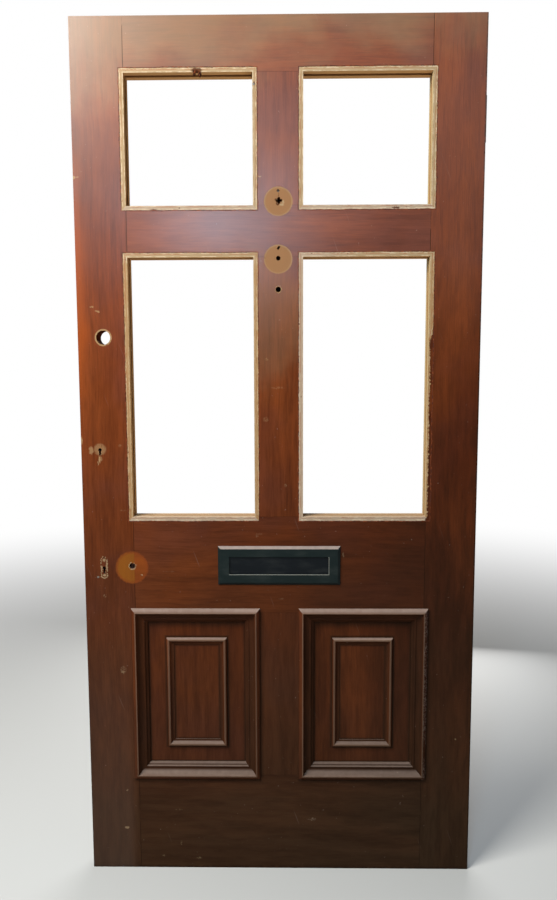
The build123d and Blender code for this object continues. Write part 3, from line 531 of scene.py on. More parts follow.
def fitting_marks(graph, position):
    """Marks left on the outside face by the knocker, knob, locks and knocks, and painted shade on the walls
    of the bores.
    """
    front, _, inside = face_masks(graph, graph.axes(position)["Y"])
    wobble = graph.wobble(position, 260.0, 3.0)
    point = graph.shaken(position, wobble, (1.4 * MM, 0.0, 1.4 * MM))
    rough = graph.shaken(position, wobble, (6 * MM, 0.0, 6 * MM))
    broken = graph.patches(position, 240.0, 0.40, 0.52, 3.0, 0.6)
    speckled = graph.patches(position, 330.0, 0.42, 0.56, 3.0, 0.6)
    knockers = (UPPER_KNOCKER, LOWER_KNOCKER)
    halos = (ring(graph, point, place, KNOCKER_RADIUS - 3.2 * MM, KNOCKER_RADIUS) for place in knockers)
    cover, within = (lost_cover(graph, rough, radius) for radius in (8.0 * MM, 6.2 * MM))
    splintered_rims = graph.largest(
        ring(graph, rough, MUNTIN_HOLE, MUNTIN_HOLE_RADIUS, MUNTIN_HOLE_RADIUS + 2 * MM),
        ring(graph, rough, ROSE_HOLE, ROSE_HOLE_RADIUS, ROSE_HOLE_RADIUS + 2 * MM),
        graph.minus(cover, within, clamp=True),
    )
    rims = graph.largest(
        ring(graph, point, LATCH, LATCH_RADIUS - MM, LATCH_RADIUS + 3.4 * MM),
        graph.product(broken, splintered_rims),
        graph.product(graph.largest(*halos), 0.35),
    )
    pale = graph.largest(
        spots(graph, rough, CLEAR_MARKS), graph.product(spots(graph, rough, FAINT_MARKS), speckled)
    )
    # Painted shade on the walls of the bores, with their soiling.
    shaded_bores = graph.largest(
        discs(graph, position, (LATCH, UPPER_KEYHOLE, LOWER_KEYHOLE, ROSE_HOLE), 20 * MM),
        discs(graph, position, (*knockers, MUNTIN_HOLE), 26 * MM),
    )
    rose_edge = ring(graph, rough, ROSE, ROSE_RADIUS - 6.5 * MM, ROSE_RADIUS + 0.5 * MM)
    return {
        "Knocker": graph.product(front, discs(graph, point, knockers, KNOCKER_RADIUS, 0.03)),
        "Rim": graph.product(front, rims),
        "Rose": graph.product(front, discs(graph, rough, (ROSE,), ROSE_RADIUS - 1.5 * MM, 0.14)),
        "Edge": graph.product(front, rose_edge),
        "Pale": graph.product(front, pale),
        "Dark": graph.product(front, spots(graph, rough, DARK_SPOTS)),
        "Bore": graph.product(inside, shaded_bores),
    }


def age_of_varnish(graph, position):
    """Varnish darkened low and right and soiled near the foot, both partly painted shade; milky varnish
    with painted sheen at the top and on the muntin; painted shade on the hinge stile's arris; a dusting
    near the foot, polish at the top, scratches and specks.
    """
    x, y, z = graph.axes(position)
    cloud = graph.minus(graph.noise(position, 6.0, 4.0), 0.5)
    height = graph.sloped(cloud, 0.35, z)
    right = graph.largest(x, 0.0)
    # Low and to the right the varnish darkens, partly as painted shade and partly as old varnish.
    leaning = graph.sloped(right, -0.3, graph.sloped(x, -0.45, height))
    share = graph.sloped(right, 0.3, graph.sloped(x, 0.5, 0.75))
    # Soiling low down, partly painted shade of the lower leaf.
    grime = graph.product(graph.step(height, *GRIME_AND_SHADE), 0.85)
    outer = graph.step(y, 0.0, -2 * MM)
    # Milky varnish and painted sheen at the top and on the muntin's middle.
    top = graph.step(graph.sloped(x, -0.15, height), *MILKY_TOP_AND_SHEEN)
    middle = graph.product(graph.step(graph.size(x), 0.085, 0.055), graph.band(height, *MILKY_MUNTIN_AND_SHEEN))
    lock_edge = graph.step(graph.sloped(cloud, 0.04, x), LOCK_EDGE + 32 * MM, LOCK_EDGE + 4 * MM)
    # Painted shade along the hinge stile's front arris, which turns away from the light; along the foot,
    # real soiling.
    hinge_arris = graph.product(
        graph.step(x, HINGE_EDGE - 5 * MM, HINGE_EDGE - MM), graph.step(y, FRONT + MM, FRONT + 0.5 * MM)
    )
    rubbed = graph.largest(hinge_arris, graph.step(z, 9 * MM, 3 * MM))
    turn = {"Vector": position, "Angle": 0.35}
    turned = graph.node("ShaderNodeVectorRotate", turn, rotation_type="Y_AXIS").outputs[0]
    on_lock_stile = graph.step(x, LOCK_STILE[1].x, LOCK_STILE[1].x - 30 * MM)
    return {
        "Darkened": graph.product(graph.step(leaning, *DARKENING_AND_SHADE), share),
        "Grime": graph.sloped(graph.step(z, *FOOT_GRIME), 0.15, grime),
        "Polish": graph.step(graph.sloped(cloud, 0.25, z), *POLISH),
        "Haze": graph.product(graph.largest(top, graph.product(middle, 0.45)), outer),
        "Handled": graph.product(lock_edge, graph.band(z, *HANDS)),
        "Rubbed": graph.product(rubbed, graph.patches(position, 85.0, 0.34, 0.56, 5.0, 0.7)),
        "Scratches": graph.patches(graph.stretched(turned, 0.035), 210.0, 0.765, 0.83, 1.0),
        "Specks": graph.patches(position, 170.0, 0.74, 0.78, 2.0),
        "Film": graph.product(on_lock_stile, graph.step(z, *FOOT_DUST), outer),
    }


def corner_dirt(graph, position):
    """Painted shade with wax along the panels' mouldings, on them and beside them, deepest under the top
    member as its shadow; a painted shadow to the right of and under each bolection; and rags of filler.
    """
    x, y, z = graph.axes(position)
    aside = graph.size(x)
    outer = graph.step(y, 0.0, -2 * MM)
    patchy = graph.sloped(graph.noise(position, 40.0, 3.0), 0.6, 0.6, clamp=True)

    ends = ("left", "right", "bottom", "top")
    left, right, bottom, top = (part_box(f"right_bolection_{end}") for end in ends)
    # Painted shade with some wax: panel strips along the bolection, widest under its top member where its
    # shadow falls.
    on_panel = graph.largest(
        graph.step(aside, left[1].x + 7 * MM, left[1].x),
        graph.step(aside, right[0].x - 7 * MM, right[0].x),
        graph.step(z, bottom[1].z + 5 * MM, bottom[1].z),
        graph.step(z, top[0].z - 22 * MM, top[0].z),
    )
    first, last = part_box("right_field_moulding_left"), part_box("right_field_moulding_right")
    width = first[1].x - first[0].x
    middle, half = (first[0] + last[1]) / 2, (last[1] - first[0]) / 2
    beside = graph.minus(graph.away(aside, middle.x), half.x)
    above = graph.minus(graph.away(z, middle.z), half.z)
    outside = graph.largest(beside, above)
    # Painted shade with some wax: strips just outside and inside the field moulding.
    round_field = graph.band(outside, -MM, 0.0, MM, 8 * MM)
    inside_field = graph.band(outside, -width - 7 * MM, -width, 0.0, MM)

    # Painted shadow: strips of the frame to the right of each bolection and under it, where their shadows
    # fall.
    sides = (-left[0].x, right[1].x)
    cast_shadow = graph.product(
        graph.largest(*(graph.band(x, side - MM, side, side, side + 12 * MM) for side in sides)),
        graph.band(z, bottom[0].z, bottom[0].z + 9 * MM, top[1].z - 9 * MM, top[1].z),
    )
    below = graph.product(
        graph.band(z, bottom[0].z - 14 * MM, bottom[0].z, bottom[0].z, bottom[0].z + MM),
        graph.band(aside, left[0].x - 3 * MM, left[0].x, right[1].x, right[1].x + 6 * MM),
    )
    rags = graph.product(
        graph.step(graph.away(x, right[1].x - 5 * MM), 6 * MM, 3 * MM),
        graph.patches(position, 230.0, 0.48, 0.60, 5.0, 0.75),
        graph.patches(position, 24.0, 0.30, 0.48),
    )
    return {
        "Dirt": graph.product(outer, patchy, graph.largest(on_panel, round_field, inside_field)),
        "Skirt": graph.product(outer, patchy, graph.largest(cast_shadow, below)),
        "Rags": graph.product(outer, rags),
    }


def joint_lines(graph, position):
    """The thin dark lines where rails and muntins meet the stiles and each other."""
    x, _, z = graph.axes(position)
    aside = graph.size(x)
    half = 1.1 * MM
    rail_edges = (TOP_RAIL[0], FRIEZE_RAIL[1], FRIEZE_RAIL[0], LOCK_RAIL[1], LOCK_RAIL[0], BOTTOM_RAIL[1])
    level = graph.smallest(*(graph.away(z, edge.z) for edge in rail_edges))
    shoulders, muntins = (graph.step(gap, half, 0.2 * half) for gap in (graph.away(aside, SHOULDER), level))
    muntins = graph.product(muntins, graph.step(aside, MUNTIN_SIDE + MM, MUNTIN_SIDE), 0.45)
    lines = graph.largest(shoulders, muntins)
    return {"Line": graph.product(graph.patches(position, 34.0, 0.28, 0.50), lines)}


def ledge_dust(graph, position, facing):
    """Settled grit on faces that look up, and painted top light: these faces are made paler, as light from
    above would make them.
    """
    up = graph.step(graph.axes(facing)[2], 0.18, 0.62)
    patchy = graph.sloped(graph.noise(position, 90.0, 4.0), 0.5, 0.62, clamp=True)
    return {"Dust": graph.product(up, patchy)}


def metal_wear(graph, position):
    """Rust bloom, pits and smears on old metal."""
    level = graph.vector("MULTIPLY", position, (0.35, 1.0, 1.0))
    return {
        "Bloom": graph.patches(position, 60.0, 0.46, 0.68, 5.0, 0.65),
        "Pits": graph.noise(position, 650.0, 3.0, 0.6),
        "Smears": graph.patches(level, 55.0, 0.45, 0.75),
    }


def grain_place(graph, level, shift):
    """The point that the grain is read at. A level board's length is turned to Z."""
    point = graph.position
    if level:
        x, y, z = graph.axes(point)
        point = graph.node("ShaderNodeCombineXYZ", {0: z, 1: y, 2: x}).outputs[0]
    return graph.node("ShaderNodeMapping", {"Vector": point, "Location": shift}).outputs[0]


def aged_varnish(graph, grain, age, broad):
    """The varnish's colour: figure, handled edge, milky varnish with painted sheen at the top, and old
    varnish with painted shade at the lower right.
    """
    wood = graph.wood
    figure = graph.sloped(grain["Lines"], 0.24, graph.product(grain["Fibre"], 0.26))
    figure = graph.sloped(grain["Streaks"], 0.12, figure)
    figure = graph.sloped(grain["Mottle"], 0.24, figure)
    # The darkened colour: painted shade low and to the right, mixed with old varnish gone dark.
    dark = graph.coats(wood.varnish_dark, (wood.varnish, grain["Warm"], 0.35), (wood.soot, broad, 0.75))
    return graph.coats(
        wood.varnish,
        (wood.varnish_warm, grain["Warm"], 0.55),
        (wood.varnish_plum, grain["Plum"], 0.55),
        (wood.varnish_deep, figure, 1.0),
        (wood.handled, age["Handled"], 0.6),
        # Painted sheen with milky varnish.
        (wood.haze, age["Haze"], 0.20),
        (dark, age["Darkened"], 0.9),
    )


def moulding_wear(graph, colour, dust, moulding, level):
    """Varnish rubbed thin where a moulding reaches furthest out, with a painted highlight there; painted
    shade with wax in the hollows behind; rags of filler; and no settled grit or painted top light on the
    sheltered inner ledge of the top member, which is in shade.
    """
    wood = graph.wood
    low, high = moulding
    _, y, z = graph.axes(graph.position)
    behind = graph.minus(y, low.y)
    rags = graph.group("corner_dirt", Position=graph.position)["Rags"]
    colour = graph.coats(
        colour,
        # Painted shade in the hollows, with some wax.
        (wood.soot, graph.step(behind, 2.5 * MM, 8.0 * MM), 0.5),
        # Painted highlight on the crown, stronger on the level members, with varnish rubbed thin.
        (wood.worn, graph.step(behind, 0.9 * MM, 0.3 * MM), 0.55 if level else 0.40),
        (wood.dust, rags, 0.5),
    )
    # The inner ledge under the top member is left without the paler colour, as it lies in shade.
    sheltered = graph.product(
        graph.band(z, low.z - 50 * MM, low.z, high.z - 9 * MM, high.z - 4 * MM),
        graph.step(behind, 3 * MM, 5 * MM),
    )
    return colour, graph.product(dust, graph.minus(1.0, sheltered))


def marked_face(graph, colour, grain, dust, level):
    """Joints, bare bands, reveals and the marks of lost fittings over the varnish, and where it is gone."""
    wood, position = graph.wood, graph.position
    edges = graph.group("light_edges", Position=position, Width=wood.band_width)
    fittings = graph.group("fitting_marks", Position=position)
    joints = graph.group("joint_lines", Position=position)["Line"]
    # Painted shadow to the right of and under the bolections.
    cast_shadow = graph.group("corner_dirt", Position=position)["Skirt"]
    rose_paint = wood.rose_red if level else wood.rose_mark
    colour = graph.coats(
        colour,
        (wood.soot, cast_shadow, 0.55),
        (wood.varnish_deep, edges["Line"], 0.75),
        (wood.soot, joints, 0.8),
        (wood.knocker_mark, fittings["Knocker"], 0.85),
        (rose_paint, fittings["Rose"], graph.sloped(grain["Streaks"], -0.35, 0.95)),
        (wood.varnish, fittings["Edge"], 0.45),
    )
    reveal = graph.coats(
        wood.reveal,
        # Painted light on the reveals that face left, towards the light.
        (wood.reveal_lit, graph.step(graph.axes(graph.facing)[0], -0.3, -0.8), 1.0),
        (wood.bare_line, grain["Fibre"], 0.4),
        # Painted top light with settled grit on the reveals' sills.
        (wood.bare_pale, dust, 0.8),
    )
    figure = graph.sloped(grain["Lines"], 0.35, graph.product(grain["Fibre"], 0.45))
    bare_wood = graph.coats(
        wood.bare,
        (wood.bare_line, figure, 1.0),
        (wood.bare_stained, edges["Stain"], 0.9),
        (wood.bare_foot, edges["Greyed"], 0.8),
        (wood.bare_pale, edges["Stripe"], graph.sloped(edges["Stain"], -0.35, 0.65)),
        (wood.varnish_warm, edges["Sight"], 0.5),
        (wood.varnish_deep, edges["Torn"], 0.8),
        (reveal, edges["Reveal"], 1.0),
    )
    rims = graph.product(fittings["Rim"], 0.85)
    bare = graph.largest(edges["Band"], edges["Reveal"], rims, fittings["Pale"])
    # Painted shade in the plough groove and on the bore walls, with real dark knots, burns and torn places.
    dirt_and_shade = graph.largest(
        graph.product(edges["Groove"], 0.3),
        graph.product(fittings["Dark"], 0.85),
        graph.product(fittings["Bore"], 0.9),
    )
    colour = graph.coats(
        # Bare wood, then painted shade with real knots and spots, then painted top light with settled grit
        # on faces that look up.
        colour, (bare_wood, bare, 1.0), (wood.varnish_deep, dirt_and_shade, 1.0), (wood.dust, dust, 0.25)
    )
    gone = graph.largest(
        bare, fittings["Knocker"], fittings["Rose"], fittings["Bore"], graph.product(joints, 0.7)
    )
    return colour, gone


def varnished_wood(name, level, shift, marks=False, moulding=None, corners=False):
    """Old varnish over softwood, rubbed and soiled, with painted shade, sheen, highlight and top light.

    marks adds the bare bands and the marks of lost fittings, with painted shade, shadow and light on the
    frame, corners the painted shade and wax along the mouldings that a panel has, and moulding, the box of
    a moulding's top member, the wear, painted highlight and painted shade of a moulding's section.
    """
    graph = Finish(name)
    wood, position = graph.wood, graph.position
    grain = graph.group("softwood_grain", Position=grain_place(graph, level, shift))
    age = graph.group("age_of_varnish", Position=position)
    # Settled grit and painted top light on faces that look up.
    dust = graph.group("ledge_dust", Position=position, Facing=graph.facing)["Dust"]
    broad = graph.sloped(grain["Mottle"], 0.45, graph.product(grain["Streaks"], 0.35))
    broad = graph.sloped(grain["Fibre"], 0.2, broad)
    colour = aged_varnish(graph, grain, age, broad)
    if moulding:
        colour, dust = moulding_wear(graph, colour, dust, moulding, level)
    if corners:
        # Painted shade with wax along the panel's mouldings.
        dirt_and_shade = graph.group("corner_dirt", Position=position)["Dirt"]
        colour = graph.coats(colour, (wood.soot, dirt_and_shade, 0.75))
    if not marks:
        # Painted top light with settled grit, fainter low down and in the streaks.
        clean = graph.sloped(grain["Streaks"], -0.2, graph.sloped(age["Grime"], -0.25, 1.0))
        colour = graph.coats(colour, (wood.dust, dust, clean))
    # The soiled colour near the foot, partly painted shade.
    grime = graph.coats(wood.grime, (wood.soot, broad, 0.7))
    pale = graph.largest(
        graph.product(age["Scratches"], 0.10),
        graph.product(age["Specks"], 0.30),
        graph.product(age["Film"], 0.05),
    )
    colour = graph.coats(
        colour,
        (grime, age["Grime"], 0.78 if marks else 0.50),
        # Painted shade on the hinge stile's arris, and soiling along the foot.
        (wood.soot, age["Rubbed"], 0.75),
        (wood.dust, pale, 1.0),
    )
    sound = graph.sloped(age["Polish"], 0.99, 0.01)
    relief = graph.sloped(grain["Fibre"], 0.25, graph.product(grain["Lines"], 0.35))
    if marks:
        colour, gone = marked_face(graph, colour, grain, dust, level)
        sound = graph.product(sound, graph.minus(1.0, gone))
        relief = graph.minus(relief, graph.product(gone, 1.2))
    coat = {"Coat Weight": graph.product(sound, 0.85), "Coat Roughness": 0.30, SPECULAR: 0.0}
    return graph.done(colour, graph.sloped(sound, -0.16, 0.66), relief, 0.4, 0.3 * MM, coat)


def end_grain(name):
    """Bare end grain of the tenon wedges."""
    graph = Finish(name)
    rings = {"Vector": graph.position, "Scale": 60.0, "Distortion": 5.0, "Detail": 2.0}
    lines = graph.node("ShaderNodeTexWave", rings, bands_direction="Z", wave_profile="SAW").outputs["Fac"]
    speckle = graph.noise(graph.position, 900.0, 2.0)
    figure = graph.sloped(lines, 0.5, graph.product(speckle, 0.3))
    colour = graph.mix(figure, graph.wood.bare_line, graph.wood.varnish_deep)
    return graph.done(colour, graph.sloped(speckle, 0.2, 0.6), speckle, 0.4, 0.4 * MM, {SPECULAR: 0.2})


def torn_varnish(name):
    """The dark, broken edge of the varnish."""
    graph = Finish(name)
    broken = graph.patches(graph.position, 120.0, 0.42, 0.62, 4.0, 0.65)
    colour = graph.mix(broken, graph.wood.varnish_deep, graph.wood.varnish)
    return graph.done(colour, graph.sloped(broken, 0.2, 0.5), broken, 0.4, 0.2 * MM, {SPECULAR: 0.15})


def bare_splinter(name):
    """Pale torn fibre."""
    graph = Finish(name)
    fibre = graph.noise(graph.stretched(graph.position, 0.1), 1500.0, 2.0)
    colour = graph.mix(fibre, graph.wood.bare, graph.wood.bare_line)
    return graph.done(colour, graph.sloped(fibre, 0.1, 0.75), fibre, 0.4, 0.2 * MM, {SPECULAR: 0.1})


def dark_knot(name):
    """A resinous knot, dark with a few paler torn spots."""
    graph = Finish(name)
    torn = graph.noise(graph.position, 420.0, 4.0, 0.65)
    colour = graph.mix(graph.step(torn, 0.44, 0.66), graph.wood.soot, graph.wood.varnish)
    return graph.done(colour, graph.sloped(torn, 0.3, 0.4), torn, 0.6, 0.6 * MM, {SPECULAR: 0.02})


def painted_iron(name, paint, worn=False):
    """Dark paint over cast iron. The third argument, when set, adds settled grit and painted top light on
    the upward faces, and a painted highlight on the mouth's lower and right lip.
    """
    graph = Finish(name)
    metal = graph.metal
    wear = graph.group("metal_wear", Position=graph.position)
    colour = graph.coats(paint, (metal.plate_worn, wear["Smears"], 0.04))
    rough = graph.sloped(wear["Smears"], 0.14, 0.40)
    if worn:
        x, y, z = graph.axes(graph.position)
        middle = (PLATE[0].z + PLATE[1].z) / 2
        right_end = MOUTH_LENGTH / 2
        beside = graph.minus(graph.size(x), right_end)
        above = graph.minus(graph.away(z, middle), MOUTH_HEIGHT / 2)
        outside = graph.largest(beside, above)
        # Painted highlight on the mouth's lower and right lip.
        lit_low_and_right = graph.largest(
            graph.step(z, middle - 17 * MM, middle - 20 * MM), graph.step(x, right_end - 2 * MM, right_end)
        )
        lip = graph.product(
            graph.step(graph.size(outside), 1.5 * MM, 0.6 * MM),
            lit_low_and_right,
            graph.step(y, PLATE[0].y + 2.2 * MM, PLATE[0].y + 1.4 * MM),
        )
        # Settled grit and painted top light on the plate's upward faces.
        dust = graph.group("ledge_dust", Position=graph.position, Facing=graph.facing)["Dust"]
        dusty_and_lit = graph.product(dust, graph.step(outside, 3 * MM, 5 * MM))
        colour = graph.coats(colour, (metal.plate_worn, lip, 0.8), (metal.plate_dust, dusty_and_lit, 0.95))
        rough = graph.sloped(dust, 0.3, rough)
    return graph.done(colour, rough, wear["Pits"], 0.25, 0.3 * MM, {SPECULAR: 0.11})


def rusted_iron(name, base):
    """Old paint or bare iron with rust blooming through."""
    graph = Finish(name)
    metal = graph.metal
    wear = graph.group("metal_wear", Position=graph.position)
    colour = graph.coats(base, (metal.rust, wear["Bloom"], 0.45), (metal.pits, wear["Pits"], 0.25))
    rough = graph.sloped(wear["Bloom"], 0.3, 0.5)
    return graph.done(colour, rough, wear["Pits"], 0.5, 0.5 * MM, {"Metallic": 0.3})


def tarnished_steel(name):
    """Dull steel with a bloom of rust."""
    graph = Finish(name)
    metal = graph.metal
    wear = graph.group("metal_wear", Position=graph.position)
    colour = graph.coats(metal.steel, (metal.rust, wear["Bloom"], 0.45))
    rough = graph.sloped(wear["Bloom"], 0.3, 0.38)
    return graph.done(colour, rough, wear["Pits"], 0.3, 0.3 * MM, {"Metallic": 0.85})


def dress(nodes, material, arris=0.0):
    """Gives CAD nodes their material and rounds their sharp edges."""
    for name in nodes:
        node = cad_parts[name]
        node.data.materials.clear()
        node.data.materials.append(material)
        if arris:
            flat = node.modifiers.new("Flat faces joined", "DECIMATE")
            flat.decimate_type = "DISSOLVE"
            flat.angle_limit = math.radians(0.5)
            bevel = node.modifiers.new("Worn arrises", "BEVEL")
            bevel.width = arris
            bevel.segments = 2
            bevel.limit_method = "ANGLE"
            bevel.angle_limit = math.radians(40)


def add_object(name, shape, material):
    """An object in the scene from a shape, which is freed."""
    mesh = bpy.data.meshes.new(name)
    shape.to_mesh(mesh)
    shape.free()
    mesh.materials.append(material)
    made = bpy.data.objects.new(name, mesh)
    bpy.context.scene.collection.objects.link(made)
    return made


def add_piece(name, build, material):
    """A mesh piece of the leaf, riding on the door."""
    shape = bmesh.new()
    build(shape)
    bmesh.ops.recalc_face_normals(shape, faces=shape.faces)
    piece = add_object(name, shape, material)
    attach(piece, "door")


def light_rectangles():
    """The four lights, each as its name, lowest x, highest x, lowest z and highest z."""
    for row, (low, high) in (("tall", TALL_LIGHT), ("square", SQUARE_LIGHT)):
        for side, sign in (("left", -1), ("right", 1)):
            middle = sign * LIGHT_X
            yield f"{side}_{row}", middle - LIGHT_HALF, middle + LIGHT_HALF, low, high


def walk_rectangle(x0, x1, z0, z1, pace):
    """Points round a rectangle with the outward direction at each, corners included."""
    corners = (Vector((x0, z0)), Vector((x1, z0)), Vector((x1, z1)), Vector((x0, z1)))
    outward = (Vector((0, -1)), Vector((1, 0)), Vector((0, 1)), Vector((-1, 0)))
    for i in range(4):
        start, end = corners[i], corners[(i + 1) % 4]
        count = round((end - start).length / pace)
        yield start, outward[i] + outward[i - 1]
        for k in range(1, count):
            yield start.lerp(end, k / count), outward[i]


def add_film(shape, x0, x1, z0, z1, width, height, seed):
    """A closed strip of torn varnish round one light: steep and ragged inside, feathered outside."""
    sunk = 0.05 * MM
    rows = []
    for point, outward in walk_rectangle(x0, x1, z0, z1, 1.5 * MM):
        place = Vector((point.x, point.y, seed))
        jagged = noise.fractal(place * 260, 0.8, 2.1, 4) * 0.9 * MM + noise.noise(place * 34) * 1.3 * MM
        inner = point + outward * (width + jagged)
        outer = point + outward * (width + jagged + (2.0 + 0.9 * noise.noise(place * 90)) * MM)
        crest = inner + (outer - inner) * 0.25
        lift = height * (0.75 + 0.5 * noise.noise(place * 150))
        profile = ((inner, sunk), (crest, -lift), (outer, sunk))
        rows.append([shape.verts.new((at.x, FRONT + y, at.y)) for at, y in profile])
    for i, row in enumerate(rows):
        after = rows[(i + 1) % len(rows)]
        for k in range(3):
            shape.faces.new((row[k], row[(k + 1) % 3], after[(k + 1) % 3], after[k]))


def add_splinter(shape, place, angle, length, width, height):
    """A long four-sided sliver that lies on the outside face with its tip lifted."""
    along = Vector((math.cos(angle), 0, math.sin(angle)))
    across = Vector((-along.z, 0, along.x)) * width / 2
    root = Vector((place[0], FRONT + 0.1 * MM, place[1]))
    ends = [root - across, root + across, root + Vector((0, -height, 0)), root + along * length]
    ends[3].y = FRONT - 0.3 * height
    a, b, c, d = (shape.verts.new(end) for end in ends)
    for face in ((a, b, c), (a, c, d), (b, d, c), (a, d, b)):
        shape.faces.new(face)


def muntin_hole_splinters(shape, draw):
    """Splinters all round the drilled hole in the middle muntin."""
    count = 17
    for i in range(count):
        angle = 2 * math.pi * (i + draw.uniform(-0.3, 0.3)) / count
        reach = MUNTIN_HOLE_RADIUS + draw.uniform(0.1, 0.6) * MM
        place = (MUNTIN_HOLE[0] + reach * math.cos(angle), MUNTIN_HOLE[1] + reach * math.sin(angle))
        length = draw.uniform(1.5, 4.2) * MM
        angle += draw.uniform(-0.5, 0.5)
        add_splinter(shape, place, angle, length, draw.uniform(0.8, 1.6) * MM, 0.7 * MM)


def cross_hole_splinters(shape, draw):
    """Splinters at the corners of the chopped hole in the upper knocker mark."""
    for x, z in ((4.5, -7.0), (7.6, -3.5), (5.8, -6.0), (-3.4, -4.6), (7.4, 2.8), (6.6, -5.2), (-5.4, 3.4)):
        place = (CROSS_HOLE[0] + x * MM, CROSS_HOLE[1] + z * MM)
        angle = draw.uniform(-2.4, -0.4)
        length = draw.uniform(2.0, 4.8) * MM
        add_splinter(shape, place, angle, length, draw.uniform(0.9, 1.7) * MM, 0.8 * MM)


def keyhole_splinters(shape, draw):
    """Short splinters at the sides of both keyholes."""
    count = 7
    for x, z in (UPPER_KEYHOLE, LOWER_KEYHOLE):
        for _ in range(count):
            side = draw.choice((-1, 1))
            place = (x + side * 2.6 * MM, z - draw.uniform(3, 12) * MM)
            angle = draw.uniform(-0.6, 0.6) + (math.pi if side < 0 else 0)
            add_splinter(shape, place, angle, 1.8 * MM, MM, 0.5 * MM)


def add_lump(shape, centre, size, seed):
    """A small rough lump: a ball pushed in and out by noise."""
    for vert in bmesh.ops.create_icosphere(shape, subdivisions=3, radius=1.0)["verts"]:
        push = 1 + 0.35 * noise.fractal(vert.co * 1.7 + Vector((seed, 0, 0)), 0.7, 2.0, 4)
        vert.co = Vector([c + v * s * push for c, v, s in zip(centre, vert.co, size)])


def torn_knot(shape):
    """Three lumps that hang over the top of the left square light."""
    top = SQUARE_LIGHT[1]
    for x, depth, rise, size, seed in (
        (-179.0, 0.6, 1.5, (8.5, 2.4, 3.6), 1.0),
        (-171.0, 1.0, -4.0, (3.6, 2.2, 6.0), 4.0),
        (-183.0, 1.4, -3.0, (3.0, 1.8, 4.2), 9.0),
    ):
        add_lump(shape, (x * MM, FRONT + depth * MM, top + rise * MM), [half * MM for half in size], seed)


def background_rays(graph):
    """1 for the rays that show the background: the camera's own, and those in gloss and through glass."""
    path = graph.node("ShaderNodeLightPath").outputs
    return graph.largest(path["Is Camera Ray"], path["Is Glossy Ray"], path["Is Transmission Ray"])


def add_floor(stage):
    """A plain pale floor that fades to white in the distance, seen straight, in gloss or through glass."""
    half = 14.0
    shape = bmesh.new()
    corners = ((-half, -half), (half, -half), (half, half), (-half, half))
    shape.faces.new([shape.verts.new((x, y, 0.0)) for x, y in corners])
    graph = Finish("floor_paint")
    fade = graph.step(graph.vector("LENGTH", graph.position), 1.0, 4.5)
    colour = graph.coats(stage.floor, (stage.floor_grit, graph.noise(graph.position, 300.0, 2.0), 0.08))
    graph.feed(graph.shader, {"Base Color": colour, "Roughness": 0.8, SPECULAR: 0.2})
    white = graph.node("ShaderNodeEmission", {"Strength": 1.0}).outputs[0]
    shown = {0: graph.product(fade, background_rays(graph)), 1: graph.shader.outputs[0], 2: white}
    mixed = graph.node("ShaderNodeMixShader", shown).outputs[0]
    graph.feed(graph.tree.nodes["Material Output"], {"Surface": mixed})
    add_object("pale_floor", shape, graph.material)


def add_sky(stage):
    """White background, and weak soft light from all round."""
    world = bpy.data.worlds.new("studio_sky")
    world.use_nodes = True
    graph = Graph(world.node_tree)
    strength = graph.sloped(background_rays(graph), 1.0 - stage.sky, stage.sky)
    background = world.node_tree.nodes["Background"]
    graph.feed(background, {"Color": (1.0, 1.0, 1.0, 1.0), "Strength": strength})
    bpy.context.scene.world = world


def add_lamp(name, power, place, target, size, colour):
    lamp = bpy.data.lights.new(name, "AREA")
    lamp.shape = "RECTANGLE"
    lamp.size, lamp.size_y = size
    lamp.energy = power
    lamp.color = colour
    holder = bpy.data.objects.new(name, lamp)
    holder.location = place
    holder.rotation_euler = (Vector(target) - Vector(place)).to_track_quat("-Z", "Y").to_euler()
    bpy.context.scene.collection.objects.link(holder)


def add_camera(stage):
    lens = bpy.data.cameras.new("photo_camera")
    lens.lens = stage.lens
    lens.sensor_width = 36.0
    lens.clip_start = 0.05
    lens.clip_end = 100.0
    camera = bpy.data.objects.new("photo_camera", lens)
    camera.location = stage.camera_place
    camera.rotation_euler = Euler(stage.camera_turn)
    bpy.context.scene.collection.objects.link(camera)
    bpy.context.scene.camera = camera


class DOOR_OT_shared_effects(Operator):
    """Build the shader groups that the door's materials share"""

    bl_idname = "door.shared_effects"
    bl_label = "Shared effects"

    def execute(self, context):
        for effect in (softwood_grain, fitting_marks, age_of_varnish, corner_dirt, joint_lines, metal_wear):
            build_group(effect, Position=VECTOR)
        build_group(light_edges, Position=VECTOR, Width=FLOAT)
        build_group(ledge_dust, Position=VECTOR, Facing=VECTOR)
        return {"FINISHED"}


class DOOR_OT_frame_of_leaf(Operator):
    """Varnish the stiles, muntins and rails, with their bare bands and marks"""

    bl_idname = "door.frame_of_leaf"
    bl_label = "Stiles, muntins and rails"

    def execute(self, context):
        arris = context.scene.door_wood.arris
        dress(UPRIGHTS, varnished_wood("upright_varnish", False, (0.0, 0.0, 0.0), marks=True), arris)
        dress(RAILS, varnished_wood("rail_varnish", True, (3.1, 1.7, 0.4), marks=True), arris)
        dress(("tenon_wedges",), end_grain("wedge_end_grain"))
        return {"FINISHED"}


class DOOR_OT_panels(Operator):
    """Varnish the two panels"""

    bl_idname = "door.panels"
    bl_label = "Panels"

    def execute(self, context):
        dress(PANELS, varnished_wood("panel_varnish", False, (5.2, 0.3, 0.9), corners=True))
        return {"FINISHED"}


